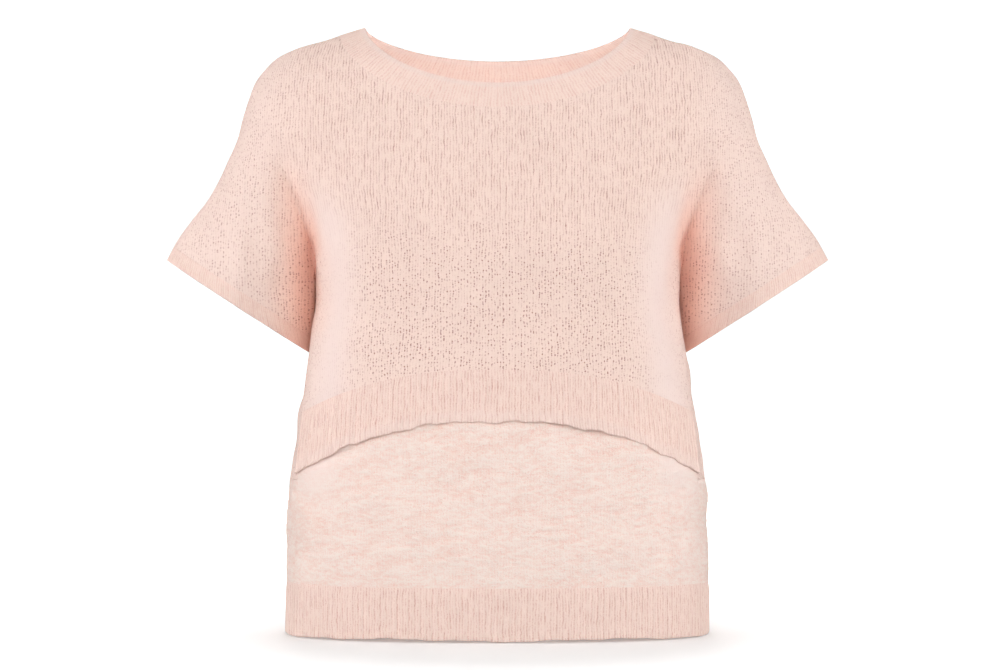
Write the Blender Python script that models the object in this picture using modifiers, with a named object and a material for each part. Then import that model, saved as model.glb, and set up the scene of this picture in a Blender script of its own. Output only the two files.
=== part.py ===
"""Short-sleeved layered sweater, filled out and hollow, in metres, +Z up.

The wearer faces -Y and the origin lies midway between the two neck points on the shoulder
line. The front and the back are each cut in one with their half sleeves. Every piece is a wall
of knit: its outer face comes from the garment's named sizes, its inner face is the outer one
moved in along the normals, and its edges are closed. Depths below the origin are called drops,
and a place in the front view is a pair (x, drop). The half at +X, the wearer's left, is made
first, and Mirror makes the other one.
"""

import math

import bpy
import numpy as np

# ---- driving sizes, metres ------------------------------------------------------------------
WALL = 0.0022
SEAM_GAP = 0.0003
NECK_HALF_WIDTH = 0.1265
NECK_FRONT_DROP = 0.0585
NECK_BACK_DROP = 0.027
NECKBAND_DEPTH = 0.024
CUFF_DEPTH = 0.015
FORK_DROP = 0.240
BACK_SEAM_DROP = 0.432
HEM_RIB_TOP_DROP = 0.530
HEM_DROP = 0.580
FLAP_CENTRE_DROP = 0.376
FLAP_SIDE_FALL = 0.050
FLAP_CURVE = 2.5
FLAP_DEPTH = 0.048
FLAP_HALF_WIDTH = 0.187
FLAP_TOP_STANDOFF = 0.0006
FLAP_EDGE_STANDOFF = 0.0035
FLAP_START_DROP = 0.255
RIB_PITCH = 0.0054
RIB_HEIGHT = 0.0009

# The body tube is a superellipse at every height.
SECTION_POWER = 2.4
# The neckline's fall towards the centre: 1 is an ellipse, and more gives sharper neck points.
NECK_POWER = {"front": 1.2, "back": 1.4}

# ---- the body, one row for each height -------------------------------------------------------
BODY_COLUMNS = ("drop", "half_width", "front", "back", "side_y", "seam_degrees")
BODY = (
    (-0.020, 0.262, 0.062, 0.050, 0.000, 90.0),
    (0.030, 0.262, 0.064, 0.056, 0.000, 90.0),
    (0.060, 0.262, 0.072, 0.066, 0.001, 90.0),
    (0.080, 0.252, 0.082, 0.076, 0.002, 90.0),
    (0.100, 0.238, 0.091, 0.084, 0.003, 90.0),
    (0.128, 0.214, 0.101, 0.093, 0.005, 90.0),
    (0.150, 0.201, 0.108, 0.098, 0.007, 90.0),
    (0.170, 0.1925, 0.112, 0.101, 0.008, 90.0),
    (0.206, 0.1795, 0.116, 0.103, 0.010, 90.0),
    (0.240, 0.1745, 0.115, 0.102, 0.012, 90.0),
    (0.289, 0.1770, 0.111, 0.100, 0.009, 83.0),
    (0.319, 0.1820, 0.110, 0.100, 0.007, 78.0),
    (0.357, 0.1870, 0.111, 0.101, 0.004, 75.0),
    (0.395, 0.1935, 0.113, 0.103, 0.002, 72.0),
    (0.434, 0.1990, 0.115, 0.105, 0.000, 70.0),
    (0.511, 0.2016, 0.118, 0.108, 0.000, 70.0),
    (0.580, 0.2025, 0.116, 0.108, 0.000, 70.0),
)

# ---- lines of the front view, one row for each point (x, drop, y where it differs) -----------
# Shoulder and overarm seam, run on over the neck hole to the centre.
OVERARM = (
    (0.000, -0.012),
    (0.065, -0.008),
    (0.129, 0.000),
    (0.163, 0.0115),
    (0.195, 0.021),
    (0.214, 0.031),
    (0.223, 0.040),
    (0.231, 0.050),
    (0.239, 0.069),
    (0.245, 0.088),
    (0.250, 0.107),
    (0.259, 0.127),
    (0.268, 0.146),
    (0.279, 0.165),
    (0.294, 0.184),
    (0.308, 0.203),
    (0.319, 0.223),
)
# Where a panel's body part runs on into its sleeve part: a line in the cloth, not a seam.
ARMHOLE = (
    (0.195, 0.021),
    (0.194, 0.075),
    (0.187, 0.128),
    (0.1775, 0.182),
    (0.1746, 0.215),
    (0.1745, 0.240),
)
# Underarm seam, from the fork to the cuff, passing beside the body and a little behind it.
UNDERARM = (
    (0.1745, 0.240, 0.012),
    (0.1785, 0.276, 0.031),
    (0.1785, 0.314, 0.046),
)
CURVE_SAMPLES = 400

# ---- the sleeve ------------------------------------------------------------------------------
SLEEVE_HALF_THICKNESS = {"front": 0.053, "back": 0.047}
SLEEVE_ROUNDING = 0.048
VALLEY_HEIGHT = 0.024
VALLEY_RISE = 0.110
SHOULDER_ROUNDING = 0.065
WING_ROUNDING = 0.105
TUBE_POWER = 0.5
WING_POWER = 0.72
UNION_POWER = 5.0
RIDGE_X = 0.245
RIDGE_WIDTH = 0.010
RIDGE_LIFT = 0.003

# The angle between two points that a normal of the tube is worked out from.
TUBE_STEP = 0.004

# ---- mesh density of half a panel ------------------------------------------------------------
NECK_STEPS = 10
SHOULDER_STEPS = 4
NECK_SHARE = 0.63
SLEEVE_ROWS = 13
EVEN_ROWS = 0.35
SLEEVE_STEPS = np.array([0.0, 0.03, 0.08, 0.16, 0.27, 0.40, 0.54, 0.68, 0.83, 1.0])
ROWS_TO_FLAP = 5
ROWS_TO_BACK_SEAM = 2
ROWS_TO_HEM_RIB = 3

# Which way each face of the garment looks along Y, and which way its seams do.
FACING = {"front": -1.0, "back": 1.0}
OVERARM_AWAY = np.array([0.5, 0.0, 1.0])
UNDERARM_AWAY = np.array([-1.0, 0.0, 0.0])
FORK_NORMAL = np.array([0.0, 0.0, -1.0])

# ---- colours, sRGB ---------------------------------------------------------------------------
SMOOTH_KNIT = "F2D3C8"
SLUB_KNIT = "F8DCCF"
RIB_KNIT = "EFCDC1"
FABRIC_ROUGHNESS = 0.92


# ---- reading the tables ----------------------------------------------------------------------
def through(places, values, at):
    """A smooth line through a table's rows, with slopes taken from the neighbouring rows."""
    slopes = np.gradient(values, places)
    at = np.clip(at, places[0], places[-1])
    row = np.clip(np.searchsorted(places, at, side="right") - 1, 0, len(places) - 2)
    span = places[row + 1] - places[row]
    q = (at - places[row]) / span
    start = (1 + 2 * q) * (1 - q) ** 2 * values[row] + q * (1 - q) ** 2 * span * slopes[row]
    end = q * q * (3 - 2 * q) * values[row + 1] + q * q * (q - 1) * span * slopes[row + 1]
    return start + end


def body(name, drop):
    """A size of the body tube at a height."""
    rows = np.array(BODY)
    return through(rows[:, 0], rows[:, BODY_COLUMNS.index(name)], drop)


def smooth_curve(table):
    """A fine, smooth curve through the table's points, and each point's share of its length."""
    rows = np.array(table)
    steps = np.hypot(*np.diff(rows[:, :2], axis=0).T)
    along = np.concatenate([[0.0], np.cumsum(steps)])
    fine = np.linspace(0.0, along[-1], CURVE_SAMPLES)
    points = np.stack([through(along, values, fine) for values in rows.T], axis=1)
    return points, fine / along[-1]


OVERARM_CURVE, OVERARM_SHARE = smooth_curve(OVERARM)
ARMHOLE_CURVE, ARMHOLE_SHARE = smooth_curve(ARMHOLE)
UNDERARM_CURVE, UNDERARM_SHARE = smooth_curve(UNDERARM)
BAND_END_X = NECK_HALF_WIDTH + NECKBAND_DEPTH
BAND_END_SHARE = np.interp(BAND_END_X, OVERARM_CURVE[:, 0], OVERARM_SHARE)
SLEEVE_START_SHARE = np.interp(ARMHOLE[0][0], OVERARM_CURVE[:, 0], OVERARM_SHARE)


def on_curve(points, shares, share):
    """The front-view point at a share of a curve's length."""
    return np.stack([np.interp(share, shares, points[:, i]) for i in (0, 1)], axis=-1)


def nearest(points, shares, view):
    """How far front-view points lie from a curve, and the curve's share beside each."""
    away = np.linalg.norm(view[..., None, :] - points[:, :2], axis=-1)
    return away.min(axis=-1), shares[away.argmin(axis=-1)]


# ---- the garment's outer surface -------------------------------------------------------------
def rounded(distance, radius, power=TUBE_POWER):
    """0 at an edge and 1 from the radius inwards, rising like the side of a tube."""
    rise = np.clip(distance / radius, 0.0, 1.0)
    return (1.0 - (1.0 - rise) ** 2) ** power


def side_plane(view, on_sleeve):
    """The y of the seam plane between front and back, which moves back along the underarm."""
    from_top, _ = nearest(OVERARM_CURVE, OVERARM_SHARE, view)
    from_under, share = nearest(UNDERARM_CURVE, UNDERARM_SHARE, view)
    moved_back = np.interp(share, UNDERARM_SHARE, UNDERARM_CURVE[:, 2]) - UNDERARM[0][2]
    plane = body("side_y", np.minimum(view[..., 1], FORK_DROP))
    return plane + on_sleeve * moved_back * from_top / (from_top + from_under)


def upper_height(view, face, on_sleeve):
    """How far the outer face stands off the seam plane: body, sleeve and the valley between."""
    x, drop = view[..., 0], view[..., 1]
    semi_depth = body(face, drop) - FACING[face] * body("side_y", drop)
    ratio = np.clip(x / body("half_width", drop), 0.0, 1.0)
    torso = semi_depth * (1.0 - ratio**SECTION_POWER) ** (1.0 / SECTION_POWER)
    from_armhole, _ = nearest(ARMHOLE_CURVE, ARMHOLE_SHARE, view)
    from_under, _ = nearest(UNDERARM_CURVE, UNDERARM_SHARE, view)
    arm = rounded(from_armhole, SLEEVE_ROUNDING) * rounded(from_under, SLEEVE_ROUNDING)
    ridge = RIDGE_LIFT * np.exp(-(((x - RIDGE_X) / RIDGE_WIDTH) ** 2))
    arm = on_sleeve * arm * (SLEEVE_HALF_THICKNESS[face] + ridge)
    valley = VALLEY_HEIGHT * rounded(FORK_DROP - drop, VALLEY_RISE)
    lobes = torso**UNION_POWER + arm**UNION_POWER + valley**UNION_POWER
    from_top, share = nearest(OVERARM_CURVE, OVERARM_SHARE, view)
    wing = np.clip((share - SLEEVE_START_SHARE) / (1.0 - SLEEVE_START_SHARE), 0.0, 1.0)
    radius = SHOULDER_ROUNDING + (WING_ROUNDING - SHOULDER_ROUNDING) * wing
    power = TUBE_POWER + (WING_POWER - TUBE_POWER) * wing
    return lobes ** (1.0 / UNION_POWER) * rounded(from_top, radius, power)


def upper_surface(view, face, on_sleeve=0.0):
    """Outer points above the fork or on the sleeve, from their places in the front view."""
    y = side_plane(view, on_sleeve) + FACING[face] * upper_height(view, face, on_sleeve)
    return np.stack([view[..., 0], y, -view[..., 1]], axis=-1)


def seam_points(view, face, on_sleeve=0.0):
    """Points on the shoulder, overarm or underarm seam, half a gap to the panel's own side."""
    y = side_plane(view, on_sleeve) + FACING[face] * SEAM_GAP / 2
    return np.stack([view[..., 0], y, -view[..., 1]], axis=-1)


def tube_points(drop, angle, outward=0.0):
    """Points of the body tube: angle 0 is the centre front, 180 degrees the centre back."""
    side_y = body("side_y", drop)
    front_depth = body("front", drop) + side_y
    back_depth = body("back", drop) - side_y
    depth = np.where(np.cos(angle) > 0, front_depth, back_depth) + outward
    width = body("half_width", drop) + outward
    power = 2.0 / SECTION_POWER
    x = width * np.abs(np.sin(angle)) ** power
    y = side_y - depth * np.sign(np.cos(angle)) * np.abs(np.cos(angle)) ** power
    return np.stack([x, y, -drop + 0.0 * x], axis=-1)


def column_angles(drop, face):
    """Each column's angle round the tube at its drop, from the centre line to the side seam."""
    to_corner = NECK_SHARE * np.arange(NECK_STEPS + 1) / NECK_STEPS
    past_corner = np.arange(1, SHOULDER_STEPS + 1) / SHOULDER_STEPS
    shares = np.concatenate([to_corner, NECK_SHARE + (1.0 - NECK_SHARE) * past_corner])
    seam = np.radians(body("seam_degrees", drop))
    half_gap = SEAM_GAP / 2 / body("front", drop)
    if face == "front":
        return shares * (seam - half_gap)
    return math.pi - shares * (math.pi - seam - half_gap)


# ---- the curved flap -------------------------------------------------------------------------
def flap_edge_drop(side_share):
    """Drop of the flap's free edge, from the centre (0) to the side seam (1)."""
    return FLAP_CENTRE_DROP + FLAP_SIDE_FALL * side_share**FLAP_CURVE


def flap_top_drop(side_share):
    """Drop of the line that the flap hangs from, one flap depth up, square to its edge."""
    slope = FLAP_SIDE_FALL * FLAP_CURVE / FLAP_HALF_WIDTH * side_share ** (FLAP_CURVE - 1)
    return flap_edge_drop(side_share) - FLAP_DEPTH * np.sqrt(1.0 + slope**2)


def side_share(angle, drop):
    """How far across the front an angle lies, as a share of the side seam's x."""
    seam = np.radians(body("seam_degrees", drop))
    return np.clip(np.sin(angle) / np.sin(seam), 0.0, 1.0) ** (2.0 / SECTION_POWER)


def flap_outward(drop, top_drop):
    """How far the front's outer face stands off the tube on its way down to the flap."""
    rise = np.clip((drop - FLAP_START_DROP) / (top_drop - FLAP_START_DROP), 0.0, 1.0)
    return (WALL + FLAP_TOP_STANDOFF) * rise**2 * (3.0 - 2.0 * rise)


# ---- grids of outer points -------------------------------------------------------------------
def blend_between(top, bottom, left, right, across, down):
    """Front-view points between four border lines, each given at the same shares."""
    u = across[None, :, None]
    v = down[:, None, None]
    sides = (1 - v) * top[None] + v * bottom[None] + (1 - u) * left[:, None] + u * right[:, None]
    corners = (1 - u) * ((1 - v) * top[0] + v * bottom[0])
    return sides - corners - u * ((1 - v) * top[-1] + v * bottom[-1])


def row_shares():
    """Shares down the armhole and the cuff, closer together at both ends."""
    even = np.linspace(0.0, 1.0, SLEEVE_ROWS + 1)
    return EVEN_ROWS * even + (1.0 - EVEN_ROWS) * (1.0 - np.cos(math.pi * even)) / 2.0


def neck_curve(face, half_width, centre_drop, end_drop):
    """Front-view points of the line round the neck, from the centre to the shoulder."""
    angle = np.linspace(0.0, math.pi / 2, NECK_STEPS + 1)
    fall = np.clip(np.cos(angle), 0.0, 1.0) ** NECK_POWER[face]
    drop = end_drop + (centre_drop - end_drop) * fall
    return np.stack([half_width * np.sin(angle), drop], axis=-1)


def neck_drop(face):
    return {"front": NECK_FRONT_DROP, "back": NECK_BACK_DROP}[face]


def yoke_grid(face):
    """Outer points from the centre line to the armhole line, rows from the neck to the fork."""
    shares = BAND_END_SHARE + (SLEEVE_START_SHARE - BAND_END_SHARE) * (
        np.arange(SHOULDER_STEPS + 1) / SHOULDER_STEPS
    )
    shoulder = on_curve(OVERARM_CURVE, OVERARM_SHARE, shares)
    centre_drop = neck_drop(face) + NECKBAND_DEPTH
    neck = neck_curve(face, BAND_END_X, centre_drop, shoulder[0, 1])
    top = np.concatenate([neck, shoulder[1:]])
    fork_row = tube_points(FORK_DROP, column_angles(FORK_DROP, face))
    bottom = np.stack([fork_row[:, 0], -fork_row[:, 2]], axis=-1)
    down = row_shares()
    centre = np.stack([0.0 * down, centre_drop + (FORK_DROP - centre_drop) * down], axis=-1)
    armhole = on_curve(ARMHOLE_CURVE, ARMHOLE_SHARE, down)
    armhole[0], armhole[-1] = top[-1], bottom[-1]
    across = np.linspace(0.0, 1.0, len(top))
    view = blend_between(top, bottom, centre, armhole, across, down)
    grid = upper_surface(view, face)
    grid[0, NECK_STEPS:] = seam_points(view[0, NECK_STEPS:], face)
    grid[-1] = fork_row
    return grid


def sleeve_rows():
    """Fine front-view rows of the sleeve, from the armhole line to the cuff's edge."""
    fine = np.linspace(0.0, 1.0, CURVE_SAMPLES)
    down = row_shares()
    over_shares = SLEEVE_START_SHARE + (1.0 - SLEEVE_START_SHARE) * fine
    over = on_curve(OVERARM_CURVE, OVERARM_SHARE, over_shares)
    under = on_curve(UNDERARM_CURVE, UNDERARM_SHARE, fine)
    armhole = on_curve(ARMHOLE_CURVE, ARMHOLE_SHARE, down)
    cuff = over[-1] + (under[-1] - over[-1]) * down[:, None]
    armhole[0], armhole[-1] = over[0], under[0]
    return blend_between(over, under, armhole, cuff, fine, down)


def sleeve_grid(face, places_of):
    """Outer sleeve points at the places, given by each row's length, along each row."""
    rows = []
    for line in sleeve_rows():
        along = np.concatenate([[0.0], np.cumsum(np.hypot(*np.diff(line, axis=0).T))])
        places = places_of(along[-1])
        rows.append(np.stack([np.interp(places, along, line[:, i]) for i in (0, 1)], axis=-1))
    view = np.array(rows)
    grid = upper_surface(view, face, on_sleeve=1.0)
    grid[0] = seam_points(view[0], face, on_sleeve=1.0)
    grid[-1] = seam_points(view[-1], face, on_sleeve=1.0)
    return grid


def panel_places(length):
    return SLEEVE_STEPS * (length - CUFF_DEPTH - SEAM_GAP / 2)


def cuff_places(length):
    return np.array([length - CUFF_DEPTH + SEAM_GAP, length])


def side_rows(*stretches):
    """Row drops down the side seam, the same on both faces: (first, last, rows) stretches."""
    drops = [np.linspace(first, last, rows + 1)[:-1] for first, last, rows in stretches]
    return np.append(np.concatenate(drops), stretches[-1][1])


def tube_grid(face, top_drop, bottom_drop, side_drops, outward_of=None):
    """Outer points of a panel below the fork, between two drops given for every column."""
    grid = []
    shares = (side_drops - side_drops[0]) / (side_drops[-1] - side_drops[0])
    for share in shares:
        drop = top_drop + (bottom_drop - top_drop) * share
        outward = 0.0 if outward_of is None else outward_of(drop)
        grid.append(tube_points(drop, column_angles(drop, face), outward))
    return np.array(grid)


# ---- walls -----------------------------------------------------------------------------------
def join_grids(grids, face):
    """One sheet from grids that share borders: its points, quads facing out, and grid numbers."""
    points, quads, numbers_of, place_of = [], [], [], {}
    for grid in grids:
        numbers = np.empty(grid.shape[:2], int)
        for row, column in np.ndindex(numbers.shape):
            key = tuple(np.round(grid[row, column], 6))
            if key not in place_of:
                place_of[key] = len(points)
                points.append(grid[row, column])
            numbers[row, column] = place_of[key]
        for row, column in np.ndindex(numbers.shape[0] - 1, numbers.shape[1] - 1):
            corners = numbers[row : row + 2, column : column + 2].ravel()[[0, 2, 3, 1]]
            quads.append(corners if face == "front" else corners[::-1])
        numbers_of.append(numbers)
    return np.array(points), np.array(quads), numbers_of


def unit(vectors):
    return vectors / np.linalg.norm(vectors, axis=-1, keepdims=True)


def sheet_normals(points, quads):
    """Each point's outward normal, from the quads round it, square to X on the centre line."""
    corners = points[quads]
    across = np.cross(corners[:, 2] - corners[:, 0], corners[:, 3] - corners[:, 1])
    normals = np.zeros_like(points)
    for corner in range(4):
        np.add.at(normals, quads[:, corner], unit(across))
    normals[points[:, 0] < SEAM_GAP / 2, 0] = 0.0
    return unit(normals)


def tube_normals(drop, angle):
    """Outward normals of the body tube, from short steps round it and down it."""
    ahead = np.minimum(angle + TUBE_STEP, math.pi)
    behind = np.maximum(angle - TUBE_STEP, 0.0)
    round_it = tube_points(drop, ahead) - tube_points(drop, behind)
    down_it = tube_points(drop + WALL, angle) - tube_points(drop - WALL, angle)
    normals = np.cross(down_it, round_it)
    normals[np.abs(np.sin(angle)) < TUBE_STEP, 0] = 0.0
    return unit(normals)


def seam_normals(line, away):
    """Normals square to a seam in the front view, the same on both faces, pointing away."""
    along = np.gradient(line, axis=0)
    normals = np.stack([-along[:, 2], 0.0 * along[:, 1], along[:, 0]], axis=-1)
    return unit(normals * np.sign(normals @ away)[:, None])


def add_object(name, points, faces, colour, mirrored):
    """A mesh object of these faces, with its mirror half where it is one half of a piece."""
    mesh = bpy.data.meshes.new(name)
    mesh.from_pydata([tuple(point) for point in points], [], [tuple(face) for face in faces])
    mesh.materials.append(knit(name, colour))
    obj = bpy.data.objects.new(name, mesh)
    bpy.data.collections["sweater"].objects.link(obj)
    if mirrored:
        mirror = obj.modifiers.new("right half", "MIRROR")
        mirror.use_mirror_merge = True
        mirror.merge_threshold = SEAM_GAP / 10
    return obj


def add_wall(name, points, quads, inner, colour):
    """A panel's closed wall: outer face, inner face and rims, open on the mirror plane."""
    count = len(points)
    faces = [list(quad) for quad in quads]
    faces += [[corner + count for corner in quad[::-1]] for quad in quads]
    edges = {(quad[i], quad[(i + 1) % 4]) for quad in quads for i in range(4)}
    for start, end in sorted(edges):
        on_plane = max(points[start, 0], points[end, 0]) < SEAM_GAP / 2
        if (end, start) not in edges and not on_plane:
            # Split along the same diagonal on both panels, so that their rims stay parallel.
            if points[start, 2] > points[end, 2]:
                faces += [[end, start, end + count], [start, start + count, end + count]]
            else:
                faces += [[end, start, start + count], [end, start + count, end + count]]
    return add_object(name, np.concatenate([points, inner]), faces, colour, True)


def row_normals(first, second, outward):
    """Normals of a strip between two lines of points, on the side that outward points to."""
    normals = np.cross(np.gradient(first, axis=0), second - first)
    normals = unit(normals * np.sign(np.sum(normals * outward, axis=1))[:, None])
    normals[first[:, 0] < SEAM_GAP / 2, 0] = 0.0
    return unit(normals)


def resample(stretch, steps):
    """A stretch's points and normals at even steps along it, its last point left out."""
    points, normals = stretch
    along = np.concatenate([[0.0], np.cumsum(np.linalg.norm(np.diff(points, axis=0), axis=1))])
    at = np.linspace(0.0, along[-1], steps + 1)[:-1]
    line = np.stack([np.interp(at, along, points[:, i]) for i in range(3)], axis=1)
    turned = np.stack([np.interp(at, along, normals[:, i]) for i in range(3)], axis=1)
    return line, turned


def rib_columns(stretches, ribs, closed):
    """Points and normals two to a rib along the stretches, and the last point of an open line."""
    parts = [resample(stretch, 2 * count) for stretch, count in zip(stretches, ribs)]
    if not closed:
        points, normals = stretches[-1]
        parts.append((points[-1:], normals[-1:]))
    line, turned = (np.concatenate(values) for values in zip(*parts))
    return line, unit(turned)


def add_ribs(name, first, second, closed, colour, mirrored):
    """A ribbed band between two lines, each a list of stretches (points, normals).

    Every odd column is a rib's crest, moved out. The inner face is plain: even columns only.
    """
    lengths = [np.linalg.norm(np.diff(points, axis=0), axis=1).sum() for points, _ in first]
    counts = [round(length / RIB_PITCH) for length in lengths]
    ribs = sum(counts)
    rows = [rib_columns(line, counts, closed) for line in (first, second)]
    columns = len(rows[0][0])
    crest = (np.arange(columns) % 2)[:, None] * RIB_HEIGHT
    outer = [points + normals * crest for points, normals in rows]
    inner = [(points - normals * WALL)[::2] for points, normals in rows]
    inner_columns = len(inner[0])
    points = np.concatenate(outer + inner)
    numbers = np.arange(2 * columns).reshape(2, columns)
    inner_numbers = 2 * columns + np.arange(2 * inner_columns).reshape(2, inner_columns)
    faces = []
    for rib in range(ribs):
        a, b, c = (2 * rib + np.arange(3)) % columns
        left, right = np.array([rib, rib + 1]) % inner_columns
        faces.append([numbers[0, a], numbers[1, a], numbers[1, b], numbers[0, b]])
        faces.append([numbers[0, b], numbers[1, b], numbers[1, c], numbers[0, c]])
        inside = inner_numbers
        faces.append([inside[0, right], inside[1, right], inside[1, left], inside[0, left]])
        top = [numbers[0, a], numbers[0, b], numbers[0, c], inside[0, right], inside[0, left]]
        foot = [inside[1, left], inside[1, right], numbers[1, c], numbers[1, b], numbers[1, a]]
        faces += [top, foot]
    if not closed:
        for column, place in ((0, 0), (columns - 1, inner_columns - 1)):
            if points[numbers[0, column], 0] > SEAM_GAP / 2:
                end = [numbers[0, column], inner_numbers[0, place]]
                end += [inner_numbers[1, place], numbers[1, column]]
                faces.append(end if column == 0 else end[::-1])
    quad = outer[0][0], outer[1][0], outer[1][1]
    looks = np.cross(quad[1] - quad[0], quad[2] - quad[0])
    if np.dot(looks, rows[0][1][0]) < 0:
        faces = [face[::-1] for face in faces]
    return add_object(name, points, faces, colour, mirrored)


# ---- the pieces ------------------------------------------------------------------------------
def flap_line():
    """Drops of the line that the flap hangs from, one for each column of the front."""
    angles = column_angles(FLAP_CENTRE_DROP, "front")
    return flap_top_drop(side_share(angles, FLAP_CENTRE_DROP))


def side_rows_to_flap():
    return FORK_DROP, flap_line()[-1], ROWS_TO_FLAP


def side_rows_to_back_seam():
    return flap_line()[-1], BACK_SEAM_DROP, ROWS_TO_BACK_SEAM


def lower_part(face):
    """The grid of an upper panel between the fork and its foot."""
    columns = NECK_STEPS + SHOULDER_STEPS + 1
    fork = np.full(columns, FORK_DROP)
    if face == "front":
        top_drop = flap_line()
        drops = side_rows(side_rows_to_flap())
        foot = top_drop - SEAM_GAP / 2
        return tube_grid(face, fork, foot, drops, lambda drop: flap_outward(drop, top_drop))
    drops = side_rows(side_rows_to_flap(), side_rows_to_back_seam())
    return tube_grid(face, fork, np.full(columns, BACK_SEAM_DROP - SEAM_GAP / 2), drops)


def set_side_normals(normals, numbers, grid):
    """Gives the points down a side seam the tube's own normals, the same on both faces."""
    drops = -grid[:, -1, 2]
    normals[numbers[:, -1]] = tube_normals(drops, np.radians(body("seam_degrees", drops)))


def upper_panel(face, colour):
    """A smooth upper panel with its grown-on half sleeve. Returns its seam lines."""
    yoke = yoke_grid(face)
    sleeve = sleeve_grid(face, panel_places)
    sleeve[:, 0] = yoke[:, -1]
    lower = lower_part(face)
    lower[0] = yoke[-1]
    points, quads, numbers_of = join_grids([yoke, sleeve, lower], face)
    of_yoke, of_sleeve, of_lower = numbers_of
    normals = sheet_normals(points, quads)
    set_side_normals(normals, of_lower[1:], lower[1:])
    shoulder = np.append(of_yoke[0, NECK_STEPS:], of_sleeve[0, 1:])
    normals[shoulder] = seam_normals(points[shoulder], OVERARM_AWAY)
    normals[of_sleeve[-1]] = seam_normals(points[of_sleeve[-1]], UNDERARM_AWAY)
    normals[of_sleeve[-1, 0]] = FORK_NORMAL
    inner = points - WALL * normals
    for numbers, on_sleeve in ((of_yoke[:-1], 0.0), (of_sleeve, 1.0)):
        keep_to_side(inner, points, numbers, face, on_sleeve)
    add_wall(face + "_body", points, quads, inner, colour)
    lines = {"neck": of_yoke[0, : NECK_STEPS + 1], "cuff": of_sleeve[:, -1], "foot": of_lower[-1]}
    return {name: (points[line], normals[line]) for name, line in lines.items()}


def keep_to_side(inner, points, numbers, face, on_sleeve):
    """Keeps the inner face of a thin place on its own side of the seam plane."""
    chosen = numbers.ravel()
    view = np.stack([points[chosen, 0], -points[chosen, 2]], axis=-1)
    limit = FACING[face] * side_plane(view, on_sleeve) + SEAM_GAP / 2
    inner[chosen, 1] = FACING[face] * np.maximum(FACING[face] * inner[chosen, 1], limit)


def lower_panel(face, colour):
    """The slub-knit panel above the hem rib. Returns the line along its foot."""
    columns = NECK_STEPS + SHOULDER_STEPS + 1
    to_hem = BACK_SEAM_DROP, HEM_RIB_TOP_DROP, ROWS_TO_HEM_RIB
    if face == "front":
        top = flap_line() + SEAM_GAP
        drops = side_rows(side_rows_to_back_seam(), to_hem)
    else:
        top = np.full(columns, BACK_SEAM_DROP + SEAM_GAP / 2)
        drops = side_rows(to_hem)
    foot = np.full(columns, HEM_RIB_TOP_DROP - SEAM_GAP / 2)
    grid = tube_grid(face, top, foot, drops)
    points, quads, (numbers,) = join_grids([grid], face)
    normals = sheet_normals(points, quads)
    set_side_normals(normals, numbers, grid)
    add_wall("lower_" + face, points, quads, points - WALL * normals, colour)
    return points[numbers[-1]], normals[numbers[-1]]


def flap(colour, foot):
    """The curved ribbed band, hung from the foot of the front panel."""
    top, normals = foot
    top = top - np.array([0.0, 0.0, SEAM_GAP])
    angles = column_angles(FLAP_CENTRE_DROP, "front")
    drop = flap_edge_drop(side_share(angles, FLAP_CENTRE_DROP))
    angles = column_angles(drop, "front")
    edge = tube_points(drop, angles, WALL + FLAP_EDGE_STANDOFF), tube_normals(drop, angles)
    add_ribs("front_flap_rib", [(top, normals)], [edge], False, colour, mirrored=True)


def hem_rib(face, colour, foot):
    """The ribbed hem under a lower panel."""
    top, normals = foot
    top = top - np.array([0.0, 0.0, SEAM_GAP])
    drop = np.full(len(top), HEM_DROP)
    angles = column_angles(drop, face)
    edge = tube_points(drop, angles), tube_normals(drop, angles)
    add_ribs("hem_rib_" + face, [(top, normals)], [edge], False, colour, mirrored=True)


def neckband(colour, front, back):
    """The ribbed band round the neck, from the centre front over the shoulder to the back."""
    outer, edge = [], []
    for face, (points, normals) in (("front", front), ("back", back)):
        view = neck_curve(face, NECK_HALF_WIDTH, neck_drop(face), 0.0)
        line = upper_surface(view, face)
        line[-1, 1] = 0.0
        points = points + unit(line - points) * 2 * SEAM_GAP
        points[-1, 1] = 0.0
        order = 1 if face == "front" else -1
        outer.append((points[::order], normals[::order]))
        edge.append((line[::order], row_normals(line, points, normals)[::order]))
    share_end_normals(outer)
    share_end_normals(edge)
    add_ribs("neckband", outer, edge, False, colour, mirrored=True)


def share_end_normals(stretches):
    """Gives the end of the first stretch and the start of the second the same normal."""
    shared = unit(stretches[0][1][-1] + stretches[1][1][0])
    stretches[0][1][-1] = shared
    stretches[1][1][0] = shared


def cuff(colour, front, back):
    """Both ribbed cuffs: closed rings on the ends of the sleeves."""
    inner, edge = [], []
    seams = (0, SLEEVE_ROWS)
    middle = (sleeve_grid("front", cuff_places) + sleeve_grid("back", cuff_places)) / 2
    for face, (_, normals) in (("front", front), ("back", back)):
        grid = sleeve_grid(face, cuff_places)
        grid[seams, :] = middle[seams, :]
        order = 1 if face == "front" else -1
        edge_normals = row_normals(grid[:, 1], grid[:, 0], normals)
        inner.append((grid[::order, 0], normals[::order]))
        edge.append((grid[::order, 1], edge_normals[::order]))
    for line in (inner, edge):
        share_end_normals(line)
        share_end_normals(line[::-1])
    left = add_ribs("cuff_left", inner, edge, True, colour, mirrored=False)
    right = left.copy()
    right.name = "cuff_right"
    right.data = left.data.copy()
    for vertex in right.data.vertices:
        vertex.co.x = -vertex.co.x
    right.data.flip_normals()
    bpy.data.collections["sweater"].objects.link(right)


# ---- materials and scene ---------------------------------------------------------------------
def linear(colour):
    """An sRGB hex colour as linear RGBA."""
    values = [int(colour[i : i + 2], 16) / 255 for i in (0, 2, 4)]
    return [v / 12.92 if v <= 0.04045 else ((v + 0.055) / 1.055) ** 2.4 for v in values] + [1.0]


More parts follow.
